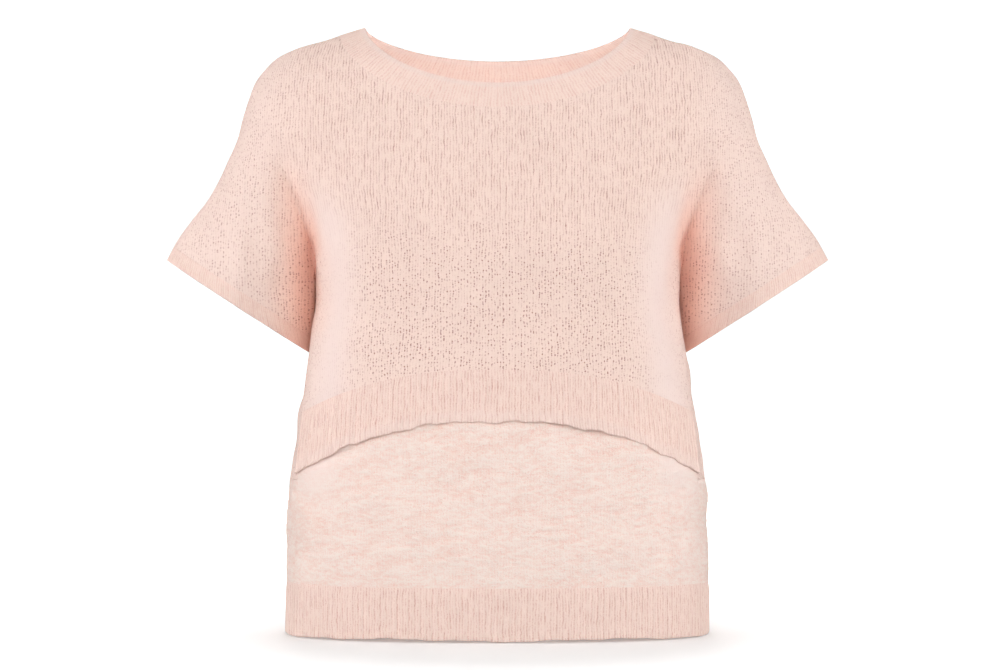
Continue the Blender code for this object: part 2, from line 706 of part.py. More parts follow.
def knit(name, colour):
    """A matte knitted fabric."""
    material = bpy.data.materials.new(name + " knit")
    material.use_nodes = True
    shader = material.node_tree.nodes["Principled BSDF"]
    shader.inputs["Base Color"].default_value = linear(colour)
    shader.inputs["Roughness"].default_value = FABRIC_ROUGHNESS
    shader.inputs["Metallic"].default_value = 0.0
    return material


def main():
    for obj in list(bpy.data.objects):
        bpy.data.objects.remove(obj, do_unlink=True)
    bpy.context.scene.collection.children.link(bpy.data.collections.new("sweater"))
    front = upper_panel("front", SMOOTH_KNIT)
    back = upper_panel("back", SMOOTH_KNIT)
    neckband(RIB_KNIT, front["neck"], back["neck"])
    cuff(RIB_KNIT, front["cuff"], back["cuff"])
    flap(RIB_KNIT, front["foot"])
    for face in ("front", "back"):
        hem_rib(face, RIB_KNIT, lower_panel(face, SLUB_KNIT))
    for obj in bpy.data.collections["sweater"].objects:
        obj.data.shade_smooth()


if __name__ == "__main__":
    main()
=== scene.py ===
"""Looks of a short-sleeved layered sweater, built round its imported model. Metres, +Z up.

The wearer faces -Y. Each piece is a thin shell of knitted cloth on the form of its solid: the
garment's named sizes give a smooth surface, folds and stitch relief are laid on it, and a wall
is given to it. Depths below the neck points are called drops, and a place in the front view is
a pair (x, drop). A piece's UV map is in metres along the cloth, U across it and V down it, so
that the columns of stitches stay upright.
"""

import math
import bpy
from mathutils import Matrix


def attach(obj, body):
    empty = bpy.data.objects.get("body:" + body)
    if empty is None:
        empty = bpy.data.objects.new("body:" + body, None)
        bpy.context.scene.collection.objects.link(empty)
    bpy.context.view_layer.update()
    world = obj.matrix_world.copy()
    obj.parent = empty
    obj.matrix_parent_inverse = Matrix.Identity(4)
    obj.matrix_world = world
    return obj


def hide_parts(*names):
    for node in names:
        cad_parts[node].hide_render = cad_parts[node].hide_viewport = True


bl_info = {
    "name": "Layered Sweater",
    "version": (1, 0, 0),
    "blender": (4, 5, 0),
    "location": "View3D > Sidebar > Sweater",
    "description": "Knitted pieces of a short-sleeved layered sweater, and a stage for them",
    "category": "Object",
}

import bpy
import numpy as np
from mathutils import Vector

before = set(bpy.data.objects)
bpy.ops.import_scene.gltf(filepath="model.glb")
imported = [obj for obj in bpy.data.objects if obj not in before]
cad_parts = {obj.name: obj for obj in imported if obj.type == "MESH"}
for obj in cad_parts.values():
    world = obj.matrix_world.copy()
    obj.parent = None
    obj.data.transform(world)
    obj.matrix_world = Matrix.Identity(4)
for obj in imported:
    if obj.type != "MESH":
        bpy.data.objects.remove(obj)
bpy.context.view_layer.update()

# ---- the garment's sizes, as its solids have them, metres --------------------------------------
WALL = 0.0022
SEAM_GAP = 0.0003
NECK_HALF_WIDTH = 0.1265
NECK_POWER = {"front": 1.2, "back": 1.4}
NECK_FRONT_DROP = 0.0585
NECK_BACK_DROP = 0.027
NECKBAND_DEPTH = 0.024
CUFF_DEPTH = 0.015
FORK_DROP = 0.240
BACK_SEAM_DROP = 0.432
HEM_RIB_TOP_DROP = 0.530
HEM_DROP = 0.580
FLAP_CENTRE_DROP = 0.376
FLAP_SIDE_FALL = 0.050
FLAP_CURVE = 2.5
FLAP_DEPTH = 0.048
FLAP_HALF_WIDTH = 0.187
FLAP_TOP_STANDOFF = 0.0006
FLAP_EDGE_STANDOFF = 0.0018
FLAP_START_DROP = 0.255
SIDE_LIFT_COLUMNS = 6
SIDE_LIFT_DROPS = (0.395, 0.430)
SECTION_POWER = 2.4

# The body tube, one row for each height.
BODY_COLUMNS = ("drop", "half_width", "front", "back", "side_y", "seam_degrees")
BODY = (
    (-0.020, 0.262, 0.062, 0.050, 0.000, 90.0),
    (0.030, 0.262, 0.064, 0.056, 0.000, 90.0),
    (0.060, 0.262, 0.072, 0.066, 0.001, 90.0),
    (0.080, 0.252, 0.082, 0.076, 0.002, 90.0),
    (0.100, 0.238, 0.091, 0.084, 0.003, 90.0),
    (0.128, 0.214, 0.101, 0.093, 0.005, 90.0),
    (0.150, 0.201, 0.108, 0.098, 0.007, 90.0),
    (0.170, 0.1925, 0.112, 0.101, 0.008, 90.0),
    (0.206, 0.1795, 0.116, 0.103, 0.010, 90.0),
    (0.240, 0.1745, 0.115, 0.102, 0.012, 90.0),
    (0.289, 0.1770, 0.111, 0.100, 0.009, 83.0),
    (0.319, 0.1820, 0.110, 0.100, 0.007, 78.0),
    (0.357, 0.1870, 0.111, 0.101, 0.004, 75.0),
    (0.395, 0.1935, 0.113, 0.103, 0.002, 72.0),
    (0.434, 0.1990, 0.115, 0.105, 0.000, 70.0),
    (0.511, 0.2016, 0.118, 0.108, 0.000, 70.0),
    (0.580, 0.2025, 0.116, 0.108, 0.000, 70.0),
)

# Shoulder and overarm seam in the front view (x, drop), run on over the neck to the centre.
OVERARM = (
    (0.000, -0.012),
    (0.065, -0.008),
    (0.129, 0.000),
    (0.163, 0.0115),
    (0.195, 0.021),
    (0.214, 0.031),
    (0.223, 0.040),
    (0.231, 0.050),
    (0.239, 0.069),
    (0.245, 0.088),
    (0.250, 0.107),
    (0.259, 0.127),
    (0.268, 0.146),
    (0.279, 0.165),
    (0.294, 0.184),
    (0.308, 0.203),
    (0.319, 0.223),
)
# Where a panel's body part runs on into its sleeve part.
ARMHOLE = (
    (0.195, 0.021),
    (0.194, 0.075),
    (0.187, 0.128),
    (0.1775, 0.182),
    (0.1746, 0.215),
    (0.1745, 0.240),
)
# Underarm seam from the fork to the cuff (x, drop, y).
UNDERARM = (
    (0.1745, 0.240, 0.012),
    (0.1762, 0.276, 0.031),
    (0.1782, 0.314, 0.046),
)
CURVE_SAMPLES = 240

SLEEVE_HALF_THICKNESS = {"front": 0.053, "back": 0.047}
SLEEVE_ROUNDING = 0.048
VALLEY_HEIGHT = 0.024
VALLEY_RISE = 0.110
SHOULDER_ROUNDING = 0.065
WING_ROUNDING = 0.105
TUBE_POWER = 0.5
WING_POWER = 0.72
UNION_POWER = 5.0
RIDGE_X = 0.245
RIDGE_WIDTH = 0.010
RIDGE_LIFT = 0.003
FACING = {"front": -1.0, "back": 1.0}

# ---- mesh spacing --------------------------------------------------------------------------------
NECK_STEPS = 72
SHOULDER_STEPS = 30
NECK_SHARE = 0.63
SLEEVE_ROWS = 92
EVEN_ROWS = 0.7
SLEEVE_STEPS = 62
SLEEVE_STEP_POWER = 1.3
ROW_HEIGHT = 0.0022
SLUB_SPACING = 0.0017
COLUMNS_PER_RIB = 6
RIB_ROW_HEIGHT = 0.003
EDGE_ARC_STEPS = 5

# ---- folds ---------------------------------------------------------------------------------------
# Soft ridges (lift above 0) and troughs (below 0), from one place in the front view to another.
FOLD_COLUMNS = ("face", "x0", "drop0", "x1", "drop1", "half_width", "lift")
FOLDS = (
    ("front", 0.150, 0.045, 0.168, 0.150, 0.016, -0.0016),
    ("front", -0.146, 0.050, -0.170, 0.160, 0.018, -0.0014),
    ("front", 0.200, 0.050, 0.214, 0.150, 0.010, 0.0012),
    ("front", -0.203, 0.055, -0.216, 0.155, 0.010, 0.0013),
    ("front", 0.160, 0.165, 0.085, 0.195, 0.016, -0.0018),
    ("front", -0.158, 0.175, -0.090, 0.190, 0.017, -0.0017),
    ("front", 0.150, 0.230, 0.110, 0.335, 0.018, 0.0016),
    ("front", -0.152, 0.235, -0.118, 0.345, 0.018, 0.0015),
    ("front", 0.060, 0.215, 0.050, 0.330, 0.022, -0.0013),
    ("front", -0.072, 0.220, -0.052, 0.335, 0.022, -0.0012),
    ("front", 0.250, 0.190, 0.285, 0.228, 0.012, 0.0012),
    ("front", -0.247, 0.180, -0.280, 0.225, 0.012, 0.0012),
    ("front", 0.222, 0.170, 0.226, 0.262, 0.012, -0.0014),
    ("front", -0.224, 0.165, -0.222, 0.258, 0.012, -0.0013),
    ("back", 0.150, 0.050, 0.130, 0.170, 0.020, -0.0018),
    ("back", -0.152, 0.045, -0.126, 0.165, 0.020, -0.0017),
    ("back", 0.165, 0.160, 0.060, 0.245, 0.018, -0.0022),
    ("back", -0.163, 0.165, -0.070, 0.240, 0.018, -0.0021),
    ("back", 0.160, 0.215, 0.075, 0.290, 0.016, 0.0018),
    ("back", -0.158, 0.220, -0.080, 0.285, 0.016, 0.0018),
    ("back", 0.020, 0.230, 0.035, 0.425, 0.024, 0.0018),
    ("back", -0.045, 0.240, -0.060, 0.420, 0.022, -0.0016),
    ("back", 0.090, 0.250, 0.120, 0.425, 0.022, -0.0017),
    ("back", -0.110, 0.245, -0.135, 0.425, 0.022, 0.0017),
    ("back", 0.222, 0.100, 0.232, 0.240, 0.012, 0.0016),
    ("back", -0.220, 0.105, -0.234, 0.235, 0.012, 0.0016),
    ("back", 0.250, 0.170, 0.275, 0.235, 0.012, -0.0012),
    ("back", -0.252, 0.165, -0.272, 0.230, 0.012, -0.0012),
)
# Gentle waves all over the cloth: how many, how long, and how far they move it.
WAVE_COUNT = 14
WAVE_LENGTHS = (0.028, 0.095)
WAVE_HEIGHT = 0.00035
SEAM_HOLD = 0.012

# Where a brushed nap lies over the stitches down the torso's sides, with a painted highlight band
# where the side light falls: a share of its half width, and the drops between which it comes in and
# fades.
HIGHLIGHT_CENTRE = 0.86
HIGHLIGHT_WIDTH = 0.11
HIGHLIGHT_DROPS = (0.13, 0.20, 0.40, 0.47)
# The same nap and painted highlight on the sleeves, fainter, above this drop.
SLEEVE_HIGHLIGHT = 0.3
SLEEVE_HIGHLIGHT_DROP = 0.35
# Where the stitches turn from upright lines to pits: down the chest and out to the sleeves.
PIT_DROPS = (0.17, 0.24)
PIT_SIDES = (0.17, 0.23)
# Painted shade in the valley under the arm: a deeper tint that stands in for the shade between arm
# and body; how far it reaches, the drops over which it comes in, and where it ends on the yoke.
VALLEY_SHADE_WIDTH = 0.028
VALLEY_SHADE_DROPS = (0.13, 0.24)
YOKE_VALLEY_SHADE_END = (0.205, 0.240)
RIM_ANGLE = math.radians(50.0)
# How far stitches stray from their even places: 0 is machine-even and 1 is random.
STITCH_UNEVENNESS = 0.75
# How far a band's start is tucked under the edge of its panel.
TUCK = 0.0006
# Rounds of evening out a panel's points, and how far in from its borders it is measured.
RELAX_ROUNDS = 3
BORDER_REACH = 0.05
# Where the sleeve's nap takes over from the torso's, as shares of the torso's half width.
TORSO_END = (1.02, 1.10)
# Share of pits on the smooth chest, and how much more there is where the cloth is pitted.
PITS_AT_LEAST = 0.15
PITS_MORE = 0.75
# Share of the slubs' height that is left at a seam.
SLUBS_AT_SEAM = 0.25
# How far the turned edges of a band rise and fall, and where its ribs start below its seam.
BAND_UNEVENNESS = 0.0006
RIB_START = 0.008
CREST_POWER = 0.8
# Painted light on a band's inner face: its tone is lifted by this share, against the shade inside
# the neck and cuffs.
INNER_PAINTED_LIGHT = 0.4
# Shares of a band's depth over which the nap and painted highlight come in towards its free edge.
EDGE_HIGHLIGHT_FROM_TO = (0.75, 0.9)
# A hanging edge is held at its ends, over this length.
EDGE_HOLD = 0.03
# Waves of the flap's edge and of the hem: how long, and how high.
FLAP_WAVES = ((0.027, 0.0007), (0.041, 0.0006), (0.0115, 0.0003), (0.09, 0.0008))
HEM_WAVES = ((0.19, 0.0008), (0.075, 0.0005), (0.031, 0.0003))

# ---- the knit close up: sizes in metres, strengths as shares -------------------------------------
# Columns of stitches stray in long waves, with a shorter ripple on them.
WANDER_SIZE = 0.024
RIPPLE_SIZE = 0.0062
RIPPLE_SHARE = 0.55
# A pit fades out between these distances from its middle, in stitches. Each is as dark as the
# even share and a part of the random one, and adds to the line that runs down its column.
PIT_FADE = (0.52, 0.15)
PIT_RANDOM = 0.55
PIT_EVEN = 0.6
PIT_LINE = 0.32
# The line between two columns comes and goes in stretches longer than wide.
BREAK_SIZE = 0.0034
BREAK_STRETCH = (1.0, 0.3, 1.0)
BREAK_CONTRAST = 1.7
BREAK_LEVEL = 0.55
# Pits and lines take turns in patches.
PATCH_SIZE = 0.014
PATCH_CONTRAST = 0.8
# Fine fibres that stand out, clumps of them, and a wide, faint mottle of the dye.
FUZZ_SIZE = 0.0012
FUZZ_STRENGTH = 1.15
CLUMP_SIZE = 0.0055
CLUMP_STRENGTH = 0.15
MOTTLE_SIZE = 0.05
MOTTLE_STRENGTH = 0.09
# Streaks of the slub yarn, which lie across the cloth and a little up to one side.
STREAK_SIZE = 0.0027
STREAK_TILT = math.radians(9.0)
STREAK_STRETCH = (0.42, 1.0, 1.0)
SLUB_LEVEL = 0.35
SLUB_SHARE = 0.28
# The nap hides a share of the relief round its middle height; its painted highlight lifts the tone
# and adds a pale haze.
NAP_HIDES = 0.72
NAP_LEVEL = 0.62
HIGHLIGHT_TONE = 0.08
HIGHLIGHT_HAZE = 0.6
# Height from which the yarn has its full colour (below it the colour is painted towards the darker
# shade colour, as painted shade in the gaps and pits between stitches), and how deep the bump is.
FULL_TONE = 0.75
BUMP_DEPTH = 0.0011

# ---- relief of the slub knit ---------------------------------------------------------------------
SLUB_LENGTHS = (0.0045, 0.0095)
SLUB_HALF_HEIGHTS = (0.0013, 0.0021)
SLUB_TILT_DEGREES = (2.0, 16.0)
SLUBS_PER_SQUARE_METRE = 22000

# ---- camera and light ----------------------------------------------------------------------------
IMAGE_WIDTH_PX = 1008
CAMERA_DISTANCE = 3.0
CAMERA_DROP = 0.318
VIEW_WIDTH = 0.9677
SENSOR_WIDTH_MM = 36.0
CENTRE_LINE_PX = 497.5
EYE_LEVEL_PX = 359.0
IMAGE_HEIGHT_PX = 672
# Painted shadow on the paper: how the distance from the sweater is measured on the floor, where the
# paper's glow starts to grow out of the painted shadow round the hem and where it is full, and how
# far off the four upright sheets stand.
PAINTED_SHADOW_STRETCH = (1.0, 0.7, 0.0)
WALL_DISTANCE = 6.0
SHEET_SIZE = 16.0
FLOOR_GAP = 0.0006
PAPER_COLOUR = (0.9, 0.9, 0.9, 1.0)
# Softboxes: name, place, what it looks at, size, and the setting with its power.
MIDDLE = (0.0, 0.0, -0.30)
LOW = (0.0, 0.0, -0.40)
NAPE = (0.0, 0.045, -0.036)
SOFTBOXES = (
    ("left softbox", (-1.82, -2.6, 0.0), MIDDLE, 1.5, "front_side_power"),
    ("right softbox", (1.82, -2.6, 0.0), MIDDLE, 1.5, "front_side_power"),
    ("left strip", (-2.3, -0.7, -0.15), LOW, 1.2, "side_power"),
    ("right strip", (2.3, -0.7, -0.15), LOW, 1.2, "side_power"),
    ("front softbox", (0.0, -3.2, 0.55), MIDDLE, 1.0, "front_power"),
    ("back softbox", (0.0, 3.2, 0.5), MIDDLE, 1.6, "back_power"),
    ("top softbox", (0.0, 0.7, 1.9), MIDDLE, 1.4, "top_power"),
    ("neck fill", (0.0, -0.04, -0.25), NAPE, 0.1, "neck_power"),
)
# The neck fill is slightly cool, against the pink that the cloth throws back inside the body.
COOL = (0.86, 0.97, 1.0)
WHITE = (1.0, 1.0, 1.0)
# Painted shadow: distances over which the paper's glow rises from its low value round the sweater
# to its full value.
PAINTED_SHADOW_EDGES = (0.20, 0.48)


# ---- reading the tables --------------------------------------------------------------------------
def through(places, values, at):
    """A smooth line through a table's rows, with slopes taken from the neighbouring rows."""
    slopes = np.gradient(values, places)
    at = np.clip(at, places[0], places[-1])
    row = np.clip(np.searchsorted(places, at, side="right") - 1, 0, len(places) - 2)
    span = places[row + 1] - places[row]
    q = (at - places[row]) / span
    start = (1 + 2 * q) * (1 - q) ** 2 * values[row] + q * (1 - q) ** 2 * span * slopes[row]
    end = q * q * (3 - 2 * q) * values[row + 1] + q * q * (q - 1) * span * slopes[row + 1]
    return start + end


def body(name, drop):
    """A size of the body tube at a height."""
    rows = np.array(BODY)
    return through(rows[:, 0], rows[:, BODY_COLUMNS.index(name)], drop)


def smooth_curve(table):
    """A fine, smooth curve through the table's points, and each point's share of its length."""
    rows = np.array(table)
    steps = np.hypot(*np.diff(rows[:, :2], axis=0).T)
    along = np.concatenate([[0.0], np.cumsum(steps)])
    fine = np.linspace(0.0, along[-1], CURVE_SAMPLES)
    points = np.stack([through(along, values, fine) for values in rows.T], axis=1)
    return points, fine / along[-1]


OVERARM_LINE = smooth_curve(OVERARM)
ARMHOLE_LINE = smooth_curve(ARMHOLE)
UNDERARM_LINE = smooth_curve(UNDERARM)
BAND_END_X = NECK_HALF_WIDTH + NECKBAND_DEPTH
BAND_END_SHARE = np.interp(BAND_END_X, OVERARM_LINE[0][:, 0], OVERARM_LINE[1])
SLEEVE_START_SHARE = np.interp(ARMHOLE[0][0], OVERARM_LINE[0][:, 0], OVERARM_LINE[1])


def on_curve(line, share):
    """The front-view point at a share of a curve's length."""
    points, shares = line
    return np.stack([np.interp(share, shares, points[:, i]) for i in (0, 1)], axis=-1)


def nearest(line, view):
    """How far places lie from a curve, the curve's share beside each, and the way up from it."""
    points, shares = line
    flat = view.reshape(-1, 2)
    start = points[:-1, :2]
    step = np.diff(points[:, :2], axis=0)
    along = ((flat[:, None] - start) * step).sum(-1) / (step**2).sum(-1)
    along = np.clip(along, 0.0, 1.0)
    away = np.linalg.norm(flat[:, None] - start - along[..., None] * step, axis=-1)
    best = away.argmin(axis=1)
    rows = np.arange(len(flat))
    share = shares[best] + along[rows, best] * (shares[best + 1] - shares[best])
    up = np.stack([step[best, 1], -step[best, 0]], axis=-1)
    up /= np.linalg.norm(up, axis=-1, keepdims=True)
    shape = view.shape[:-1]
    return away[rows, best].reshape(shape), share.reshape(shape), up.reshape(shape + (2,))


# ---- the garment's outer surface -----------------------------------------------------------------
def rounded(distance, radius, power=TUBE_POWER):
    """0 at an edge and 1 from the radius inwards, rising like the side of a tube."""
    rise = np.clip(distance / radius, 0.0, 1.0)
    return (1.0 - (1.0 - rise) ** 2) ** power


def wing_share(share):
    """How far along the overarm a share lies, from the top of the sleeve to the cuff's tip."""
    return np.clip((share - SLEEVE_START_SHARE) / (1.0 - SLEEVE_START_SHARE), 0.0, 1.0)


def side_plane(view, on_sleeve):
    """The y of the seam plane between front and back, which moves back along the underarm."""
    from_top = nearest(OVERARM_LINE, view)[0]
    from_under, share, _ = nearest(UNDERARM_LINE, view)
    moved_back = np.interp(share, UNDERARM_LINE[1], UNDERARM_LINE[0][:, 2]) - UNDERARM[0][2]
    plane = body("side_y", np.minimum(view[..., 1], FORK_DROP))
    return plane + on_sleeve * moved_back * from_top / (from_top + from_under)


def upper_height(view, face, on_sleeve):
    """How far the outer face stands off the seam plane: body, sleeve and the valley between."""
    x, drop = np.abs(view[..., 0]), view[..., 1]
    semi_depth = body(face, drop) - FACING[face] * body("side_y", drop)
    ratio = np.clip(x / body("half_width", drop), 0.0, 1.0)
    torso = semi_depth * (1.0 - ratio**SECTION_POWER) ** (1.0 / SECTION_POWER)
    from_armhole = nearest(ARMHOLE_LINE, view)[0]
    from_under = nearest(UNDERARM_LINE, view)[0]
    arm = rounded(from_armhole, SLEEVE_ROUNDING) * rounded(from_under, SLEEVE_ROUNDING)
    ridge = RIDGE_LIFT * np.exp(-(((x - RIDGE_X) / RIDGE_WIDTH) ** 2))
    arm = on_sleeve * arm * (SLEEVE_HALF_THICKNESS[face] + ridge)
    valley = VALLEY_HEIGHT * rounded(FORK_DROP - drop, VALLEY_RISE)
    lobes = torso**UNION_POWER + arm**UNION_POWER + valley**UNION_POWER
    from_top, share, _ = nearest(OVERARM_LINE, view)
    wing = wing_share(share)
    radius = SHOULDER_ROUNDING + (WING_ROUNDING - SHOULDER_ROUNDING) * wing
    power = TUBE_POWER + (WING_POWER - TUBE_POWER) * wing
    return lobes ** (1.0 / UNION_POWER) * rounded(from_top, radius, power)


def upper_surface(view, face, on_sleeve=0.0):
    """Outer points above the fork or on the sleeve, from their places in the front view."""
    y = side_plane(view, on_sleeve) + FACING[face] * upper_height(view, face, on_sleeve)
    return np.stack([view[..., 0], y, -view[..., 1]], axis=-1)


def seam_points(view, face, on_sleeve=0.0):
    """Points on the shoulder, overarm or underarm seam, half a gap to the panel's own side."""
    y = side_plane(view, on_sleeve) + FACING[face] * SEAM_GAP / 2
    return np.stack([view[..., 0], y, -view[..., 1]], axis=-1)


def tube_points(drop, angle, outward=0.0):
    """Points of the body tube: angle 0 is the centre front, 180 degrees the centre back."""
    side_y = body("side_y", drop)
    front_depth = body("front", drop) + side_y
    back_depth = body("back", drop) - side_y
    depth = np.where(np.cos(angle) > 0, front_depth, back_depth) + outward
    width = body("half_width", drop) + outward
    power = 2.0 / SECTION_POWER
    x = width * np.abs(np.sin(angle)) ** power
    y = side_y - depth * np.sign(np.cos(angle)) * np.abs(np.cos(angle)) ** power
    return np.stack([x, y, -drop + 0.0 * x], axis=-1)


def column_angles(drop, face, neck_steps=NECK_STEPS, shoulder_steps=SHOULDER_STEPS):
    """Each column's angle round the tube at its drop, from the centre line to the side seam."""
    to_corner = NECK_SHARE * np.arange(neck_steps + 1) / neck_steps
    past_corner = np.arange(1, shoulder_steps + 1) / shoulder_steps
    shares = np.concatenate([to_corner, NECK_SHARE + (1.0 - NECK_SHARE) * past_corner])
    seam = np.radians(body("seam_degrees", drop))
    half_gap = SEAM_GAP / 2 / body("front", drop)
    if face == "front":
        return shares * (seam - half_gap)
    return math.pi - shares * (math.pi - seam - half_gap)


def flap_edge_drop(side_share):
    """Drop of the flap's free edge, from the centre (0) to the side seam (1)."""
    return FLAP_CENTRE_DROP + FLAP_SIDE_FALL * side_share**FLAP_CURVE


def flap_top_drop(side_share):
    """Drop of the line that the flap hangs from, one flap depth up, square to its edge."""
    slope = FLAP_SIDE_FALL * FLAP_CURVE / FLAP_HALF_WIDTH * side_share ** (FLAP_CURVE - 1)
    return flap_edge_drop(side_share) - FLAP_DEPTH * np.sqrt(1.0 + slope**2)


def side_share(angle, drop):
    """How far across the front an angle lies, as a share of the side seam's x."""
    seam = np.radians(body("seam_degrees", drop))
    return np.clip(np.sin(angle) / np.sin(seam), 0.0, 1.0) ** (2.0 / SECTION_POWER)


def flap_outward(drop, top_drop):
    """How far the front's outer face stands off the tube on its way down to the flap."""
    rise = np.clip((drop - FLAP_START_DROP) / (top_drop - FLAP_START_DROP), 0.0, 1.0)
    return (WALL + FLAP_TOP_STANDOFF) * rise**2 * (3.0 - 2.0 * rise)


def side_lift(drop):
    """How far the back rises at its side seam, to meet the front's outer face above the flap."""
    top_drop = flap_line()[-1]
    last = len(drop) - 1
    near = smooth_step(last - SIDE_LIFT_COLUMNS, last, np.arange(last + 1))
    return near * flap_outward(drop, top_drop) * (1.0 - smooth_step(*SIDE_LIFT_DROPS, drop))


# ---- places along the cloth ----------------------------------------------------------------------
DEPTH_TO_WIDTH = 0.62
ARC_ANGLES = np.linspace(0.0, math.pi / 2, 400)
ARC_X = np.sin(ARC_ANGLES) ** (2.0 / SECTION_POWER)
ARC_Y = DEPTH_TO_WIDTH * np.cos(ARC_ANGLES) ** (2.0 / SECTION_POWER)
ARC_LENGTHS = np.concatenate([[0.0], np.cumsum(np.hypot(np.diff(ARC_X), np.diff(ARC_Y)))])
# Between these drops the stitch columns of the body change from the front view's own spacing to
# the spacing round the tube, beside the dark valley under the arm.
UPRIGHT_FROM_DROP = 0.130
UPRIGHT_TO_DROP = 0.230


def round_the_body(angle, half_width):
    """Length of cloth from the centre line to an angle of the tube, on either face."""
    from_centre = np.minimum(angle, math.pi - angle)
    return half_width * np.interp(from_centre, ARC_ANGLES, ARC_LENGTHS)


def tube_uv(drop, angle, face):
    """Cloth places of tube points: across from the panel's centre line, and down."""
    half_width = body("half_width", drop)
    over = angle > math.pi / 2 if face == "front" else angle < math.pi / 2
    across = round_the_body(angle, half_width)
    full = 2.0 * half_width * ARC_LENGTHS[-1]
    return np.stack([np.where(over, full - across, across), drop + 0.0 * across], axis=-1)


def smooth_step(low, high, value):
    share = np.clip((value - low) / (high - low), 0.0, 1.0)
    return share * share * (3.0 - 2.0 * share)


def edge_length_table(radius, power, height):
    """Distances from a rounded edge, and how much longer the cloth is from there inwards."""
    distance = np.linspace(0.0, radius, 300)
    rise = height * rounded(distance, radius, power)
    longer = np.hypot(np.diff(distance), np.diff(rise)) - np.diff(distance)
    left = np.concatenate([np.cumsum(longer[::-1])[::-1], [0.0]])
    return distance, left


SHOULDER_LENGTHS = edge_length_table(SHOULDER_ROUNDING, TUBE_POWER, 0.062)
WING_LENGTHS = edge_length_table(WING_ROUNDING, WING_POWER, SLEEVE_HALF_THICKNESS["front"])


def upper_uv(view, on_sleeve):
    """Cloth places of the upper panels, laid out flat from the front view's places."""
    from_top, share, up = nearest(OVERARM_LINE, view)
    wing = wing_share(share)
    longer = (1.0 - wing) * np.interp(from_top, *SHOULDER_LENGTHS)
    longer += wing * np.interp(from_top, *WING_LENGTHS)
    x, drop = view[..., 0], view[..., 1]
    half_width = body("half_width", drop)
    ratio = np.clip(x / half_width, 0.0, 1.0) ** (SECTION_POWER / 2.0)
    round_it = round_the_body(np.arcsin(ratio), half_width)
    turned = (1.0 - on_sleeve) * smooth_step(UPRIGHT_FROM_DROP, UPRIGHT_TO_DROP, drop)
    across = x + turned * (round_it - x) + longer * up[..., 0]
    return np.stack([across, drop + longer * up[..., 1]], axis=-1)


# ---- half grids of outer points, with their cloth places -----------------------------------------
def blend_between(top, bottom, left, right, across, down):
    """Front-view points between four border lines, each given at the same shares."""
    u = across[None, :, None]
    v = down[:, None, None]
    sides = (1 - v) * top[None] + v * bottom[None] + (1 - u) * left[:, None] + u * right[:, None]
    corners = (1 - u) * ((1 - v) * top[0] + v * bottom[0])
    return sides - corners - u * ((1 - v) * top[-1] + v * bottom[-1])


def row_shares():
    """Shares down the armhole and the cuff, closer together at both ends."""
    even = np.linspace(0.0, 1.0, SLEEVE_ROWS + 1)
    return EVEN_ROWS * even + (1.0 - EVEN_ROWS) * (1.0 - np.cos(math.pi * even)) / 2.0


def neck_curve(face, half_width, centre_drop, end_drop):
    """Front-view points of the line round the neck, from the centre to the shoulder."""
    angle = np.linspace(0.0, math.pi / 2, NECK_STEPS + 1)
    fall = np.clip(np.cos(angle), 0.0, 1.0) ** NECK_POWER[face]
    drop = end_drop + (centre_drop - end_drop) * fall
    return np.stack([half_width * np.sin(angle), drop], axis=-1)


def neck_drop(face):
    return {"front": NECK_FRONT_DROP, "back": NECK_BACK_DROP}[face]


def yoke_grid(face):
    """From the centre line to the armhole line, rows from the neck to the fork."""
    shares = BAND_END_SHARE + (SLEEVE_START_SHARE - BAND_END_SHARE) * (
        np.arange(SHOULDER_STEPS + 1) / SHOULDER_STEPS
    )
    shoulder = on_curve(OVERARM_LINE, shares)
    centre_drop = neck_drop(face) + NECKBAND_DEPTH
    neck = neck_curve(face, BAND_END_X, centre_drop, shoulder[0, 1])
    top = np.concatenate([neck, shoulder[1:]])
    angles = column_angles(FORK_DROP, face)
    fork_row = tube_points(FORK_DROP, angles)
    bottom = np.stack([fork_row[:, 0], -fork_row[:, 2]], axis=-1)
    down = row_shares()
    centre = np.stack([0.0 * down, centre_drop + (FORK_DROP - centre_drop) * down], axis=-1)
    armhole = on_curve(ARMHOLE_LINE, down)
    armhole[0], armhole[-1] = top[-1], bottom[-1]
    across = np.linspace(0.0, 1.0, len(top))
    view = blend_between(top, bottom, centre, armhole, across, down)
    grid = upper_surface(view, face)
    grid[0, NECK_STEPS:] = seam_points(view[0, NECK_STEPS:], face)
    grid[-1] = fork_row
    places = upper_uv(view, 0.0)
    places[-1] = tube_uv(FORK_DROP, angles, face)
    return grid, places


def sleeve_rows():
    """Fine front-view rows of the sleeve, from the armhole line to the cuff's edge."""
    fine = np.linspace(0.0, 1.0, CURVE_SAMPLES)
    down = row_shares()
    over_shares = SLEEVE_START_SHARE + (1.0 - SLEEVE_START_SHARE) * fine
    over = on_curve(OVERARM_LINE, over_shares)
    under = on_curve(UNDERARM_LINE, fine)
    armhole = on_curve(ARMHOLE_LINE, down)
    cuff = over[-1] + (under[-1] - over[-1]) * down[:, None]
    armhole[0], armhole[-1] = over[0], under[0]
    return blend_between(over, under, armhole, cuff, fine, down)


def sleeve_grid(face, places_of):
    """Sleeve points at the places, given by each row's length, along each row."""
    rows = []
    for line in sleeve_rows():
        along = np.concatenate([[0.0], np.cumsum(np.hypot(*np.diff(line, axis=0).T))])
        places = places_of(along[-1])
        rows.append(np.stack([np.interp(places, along, line[:, i]) for i in (0, 1)], axis=-1))
    view = np.array(rows)
    grid = upper_surface(view, face, on_sleeve=1.0)
    grid[0] = seam_points(view[0], face, on_sleeve=1.0)
    grid[-1] = seam_points(view[-1], face, on_sleeve=1.0)
    return grid, upper_uv(view, 1.0)


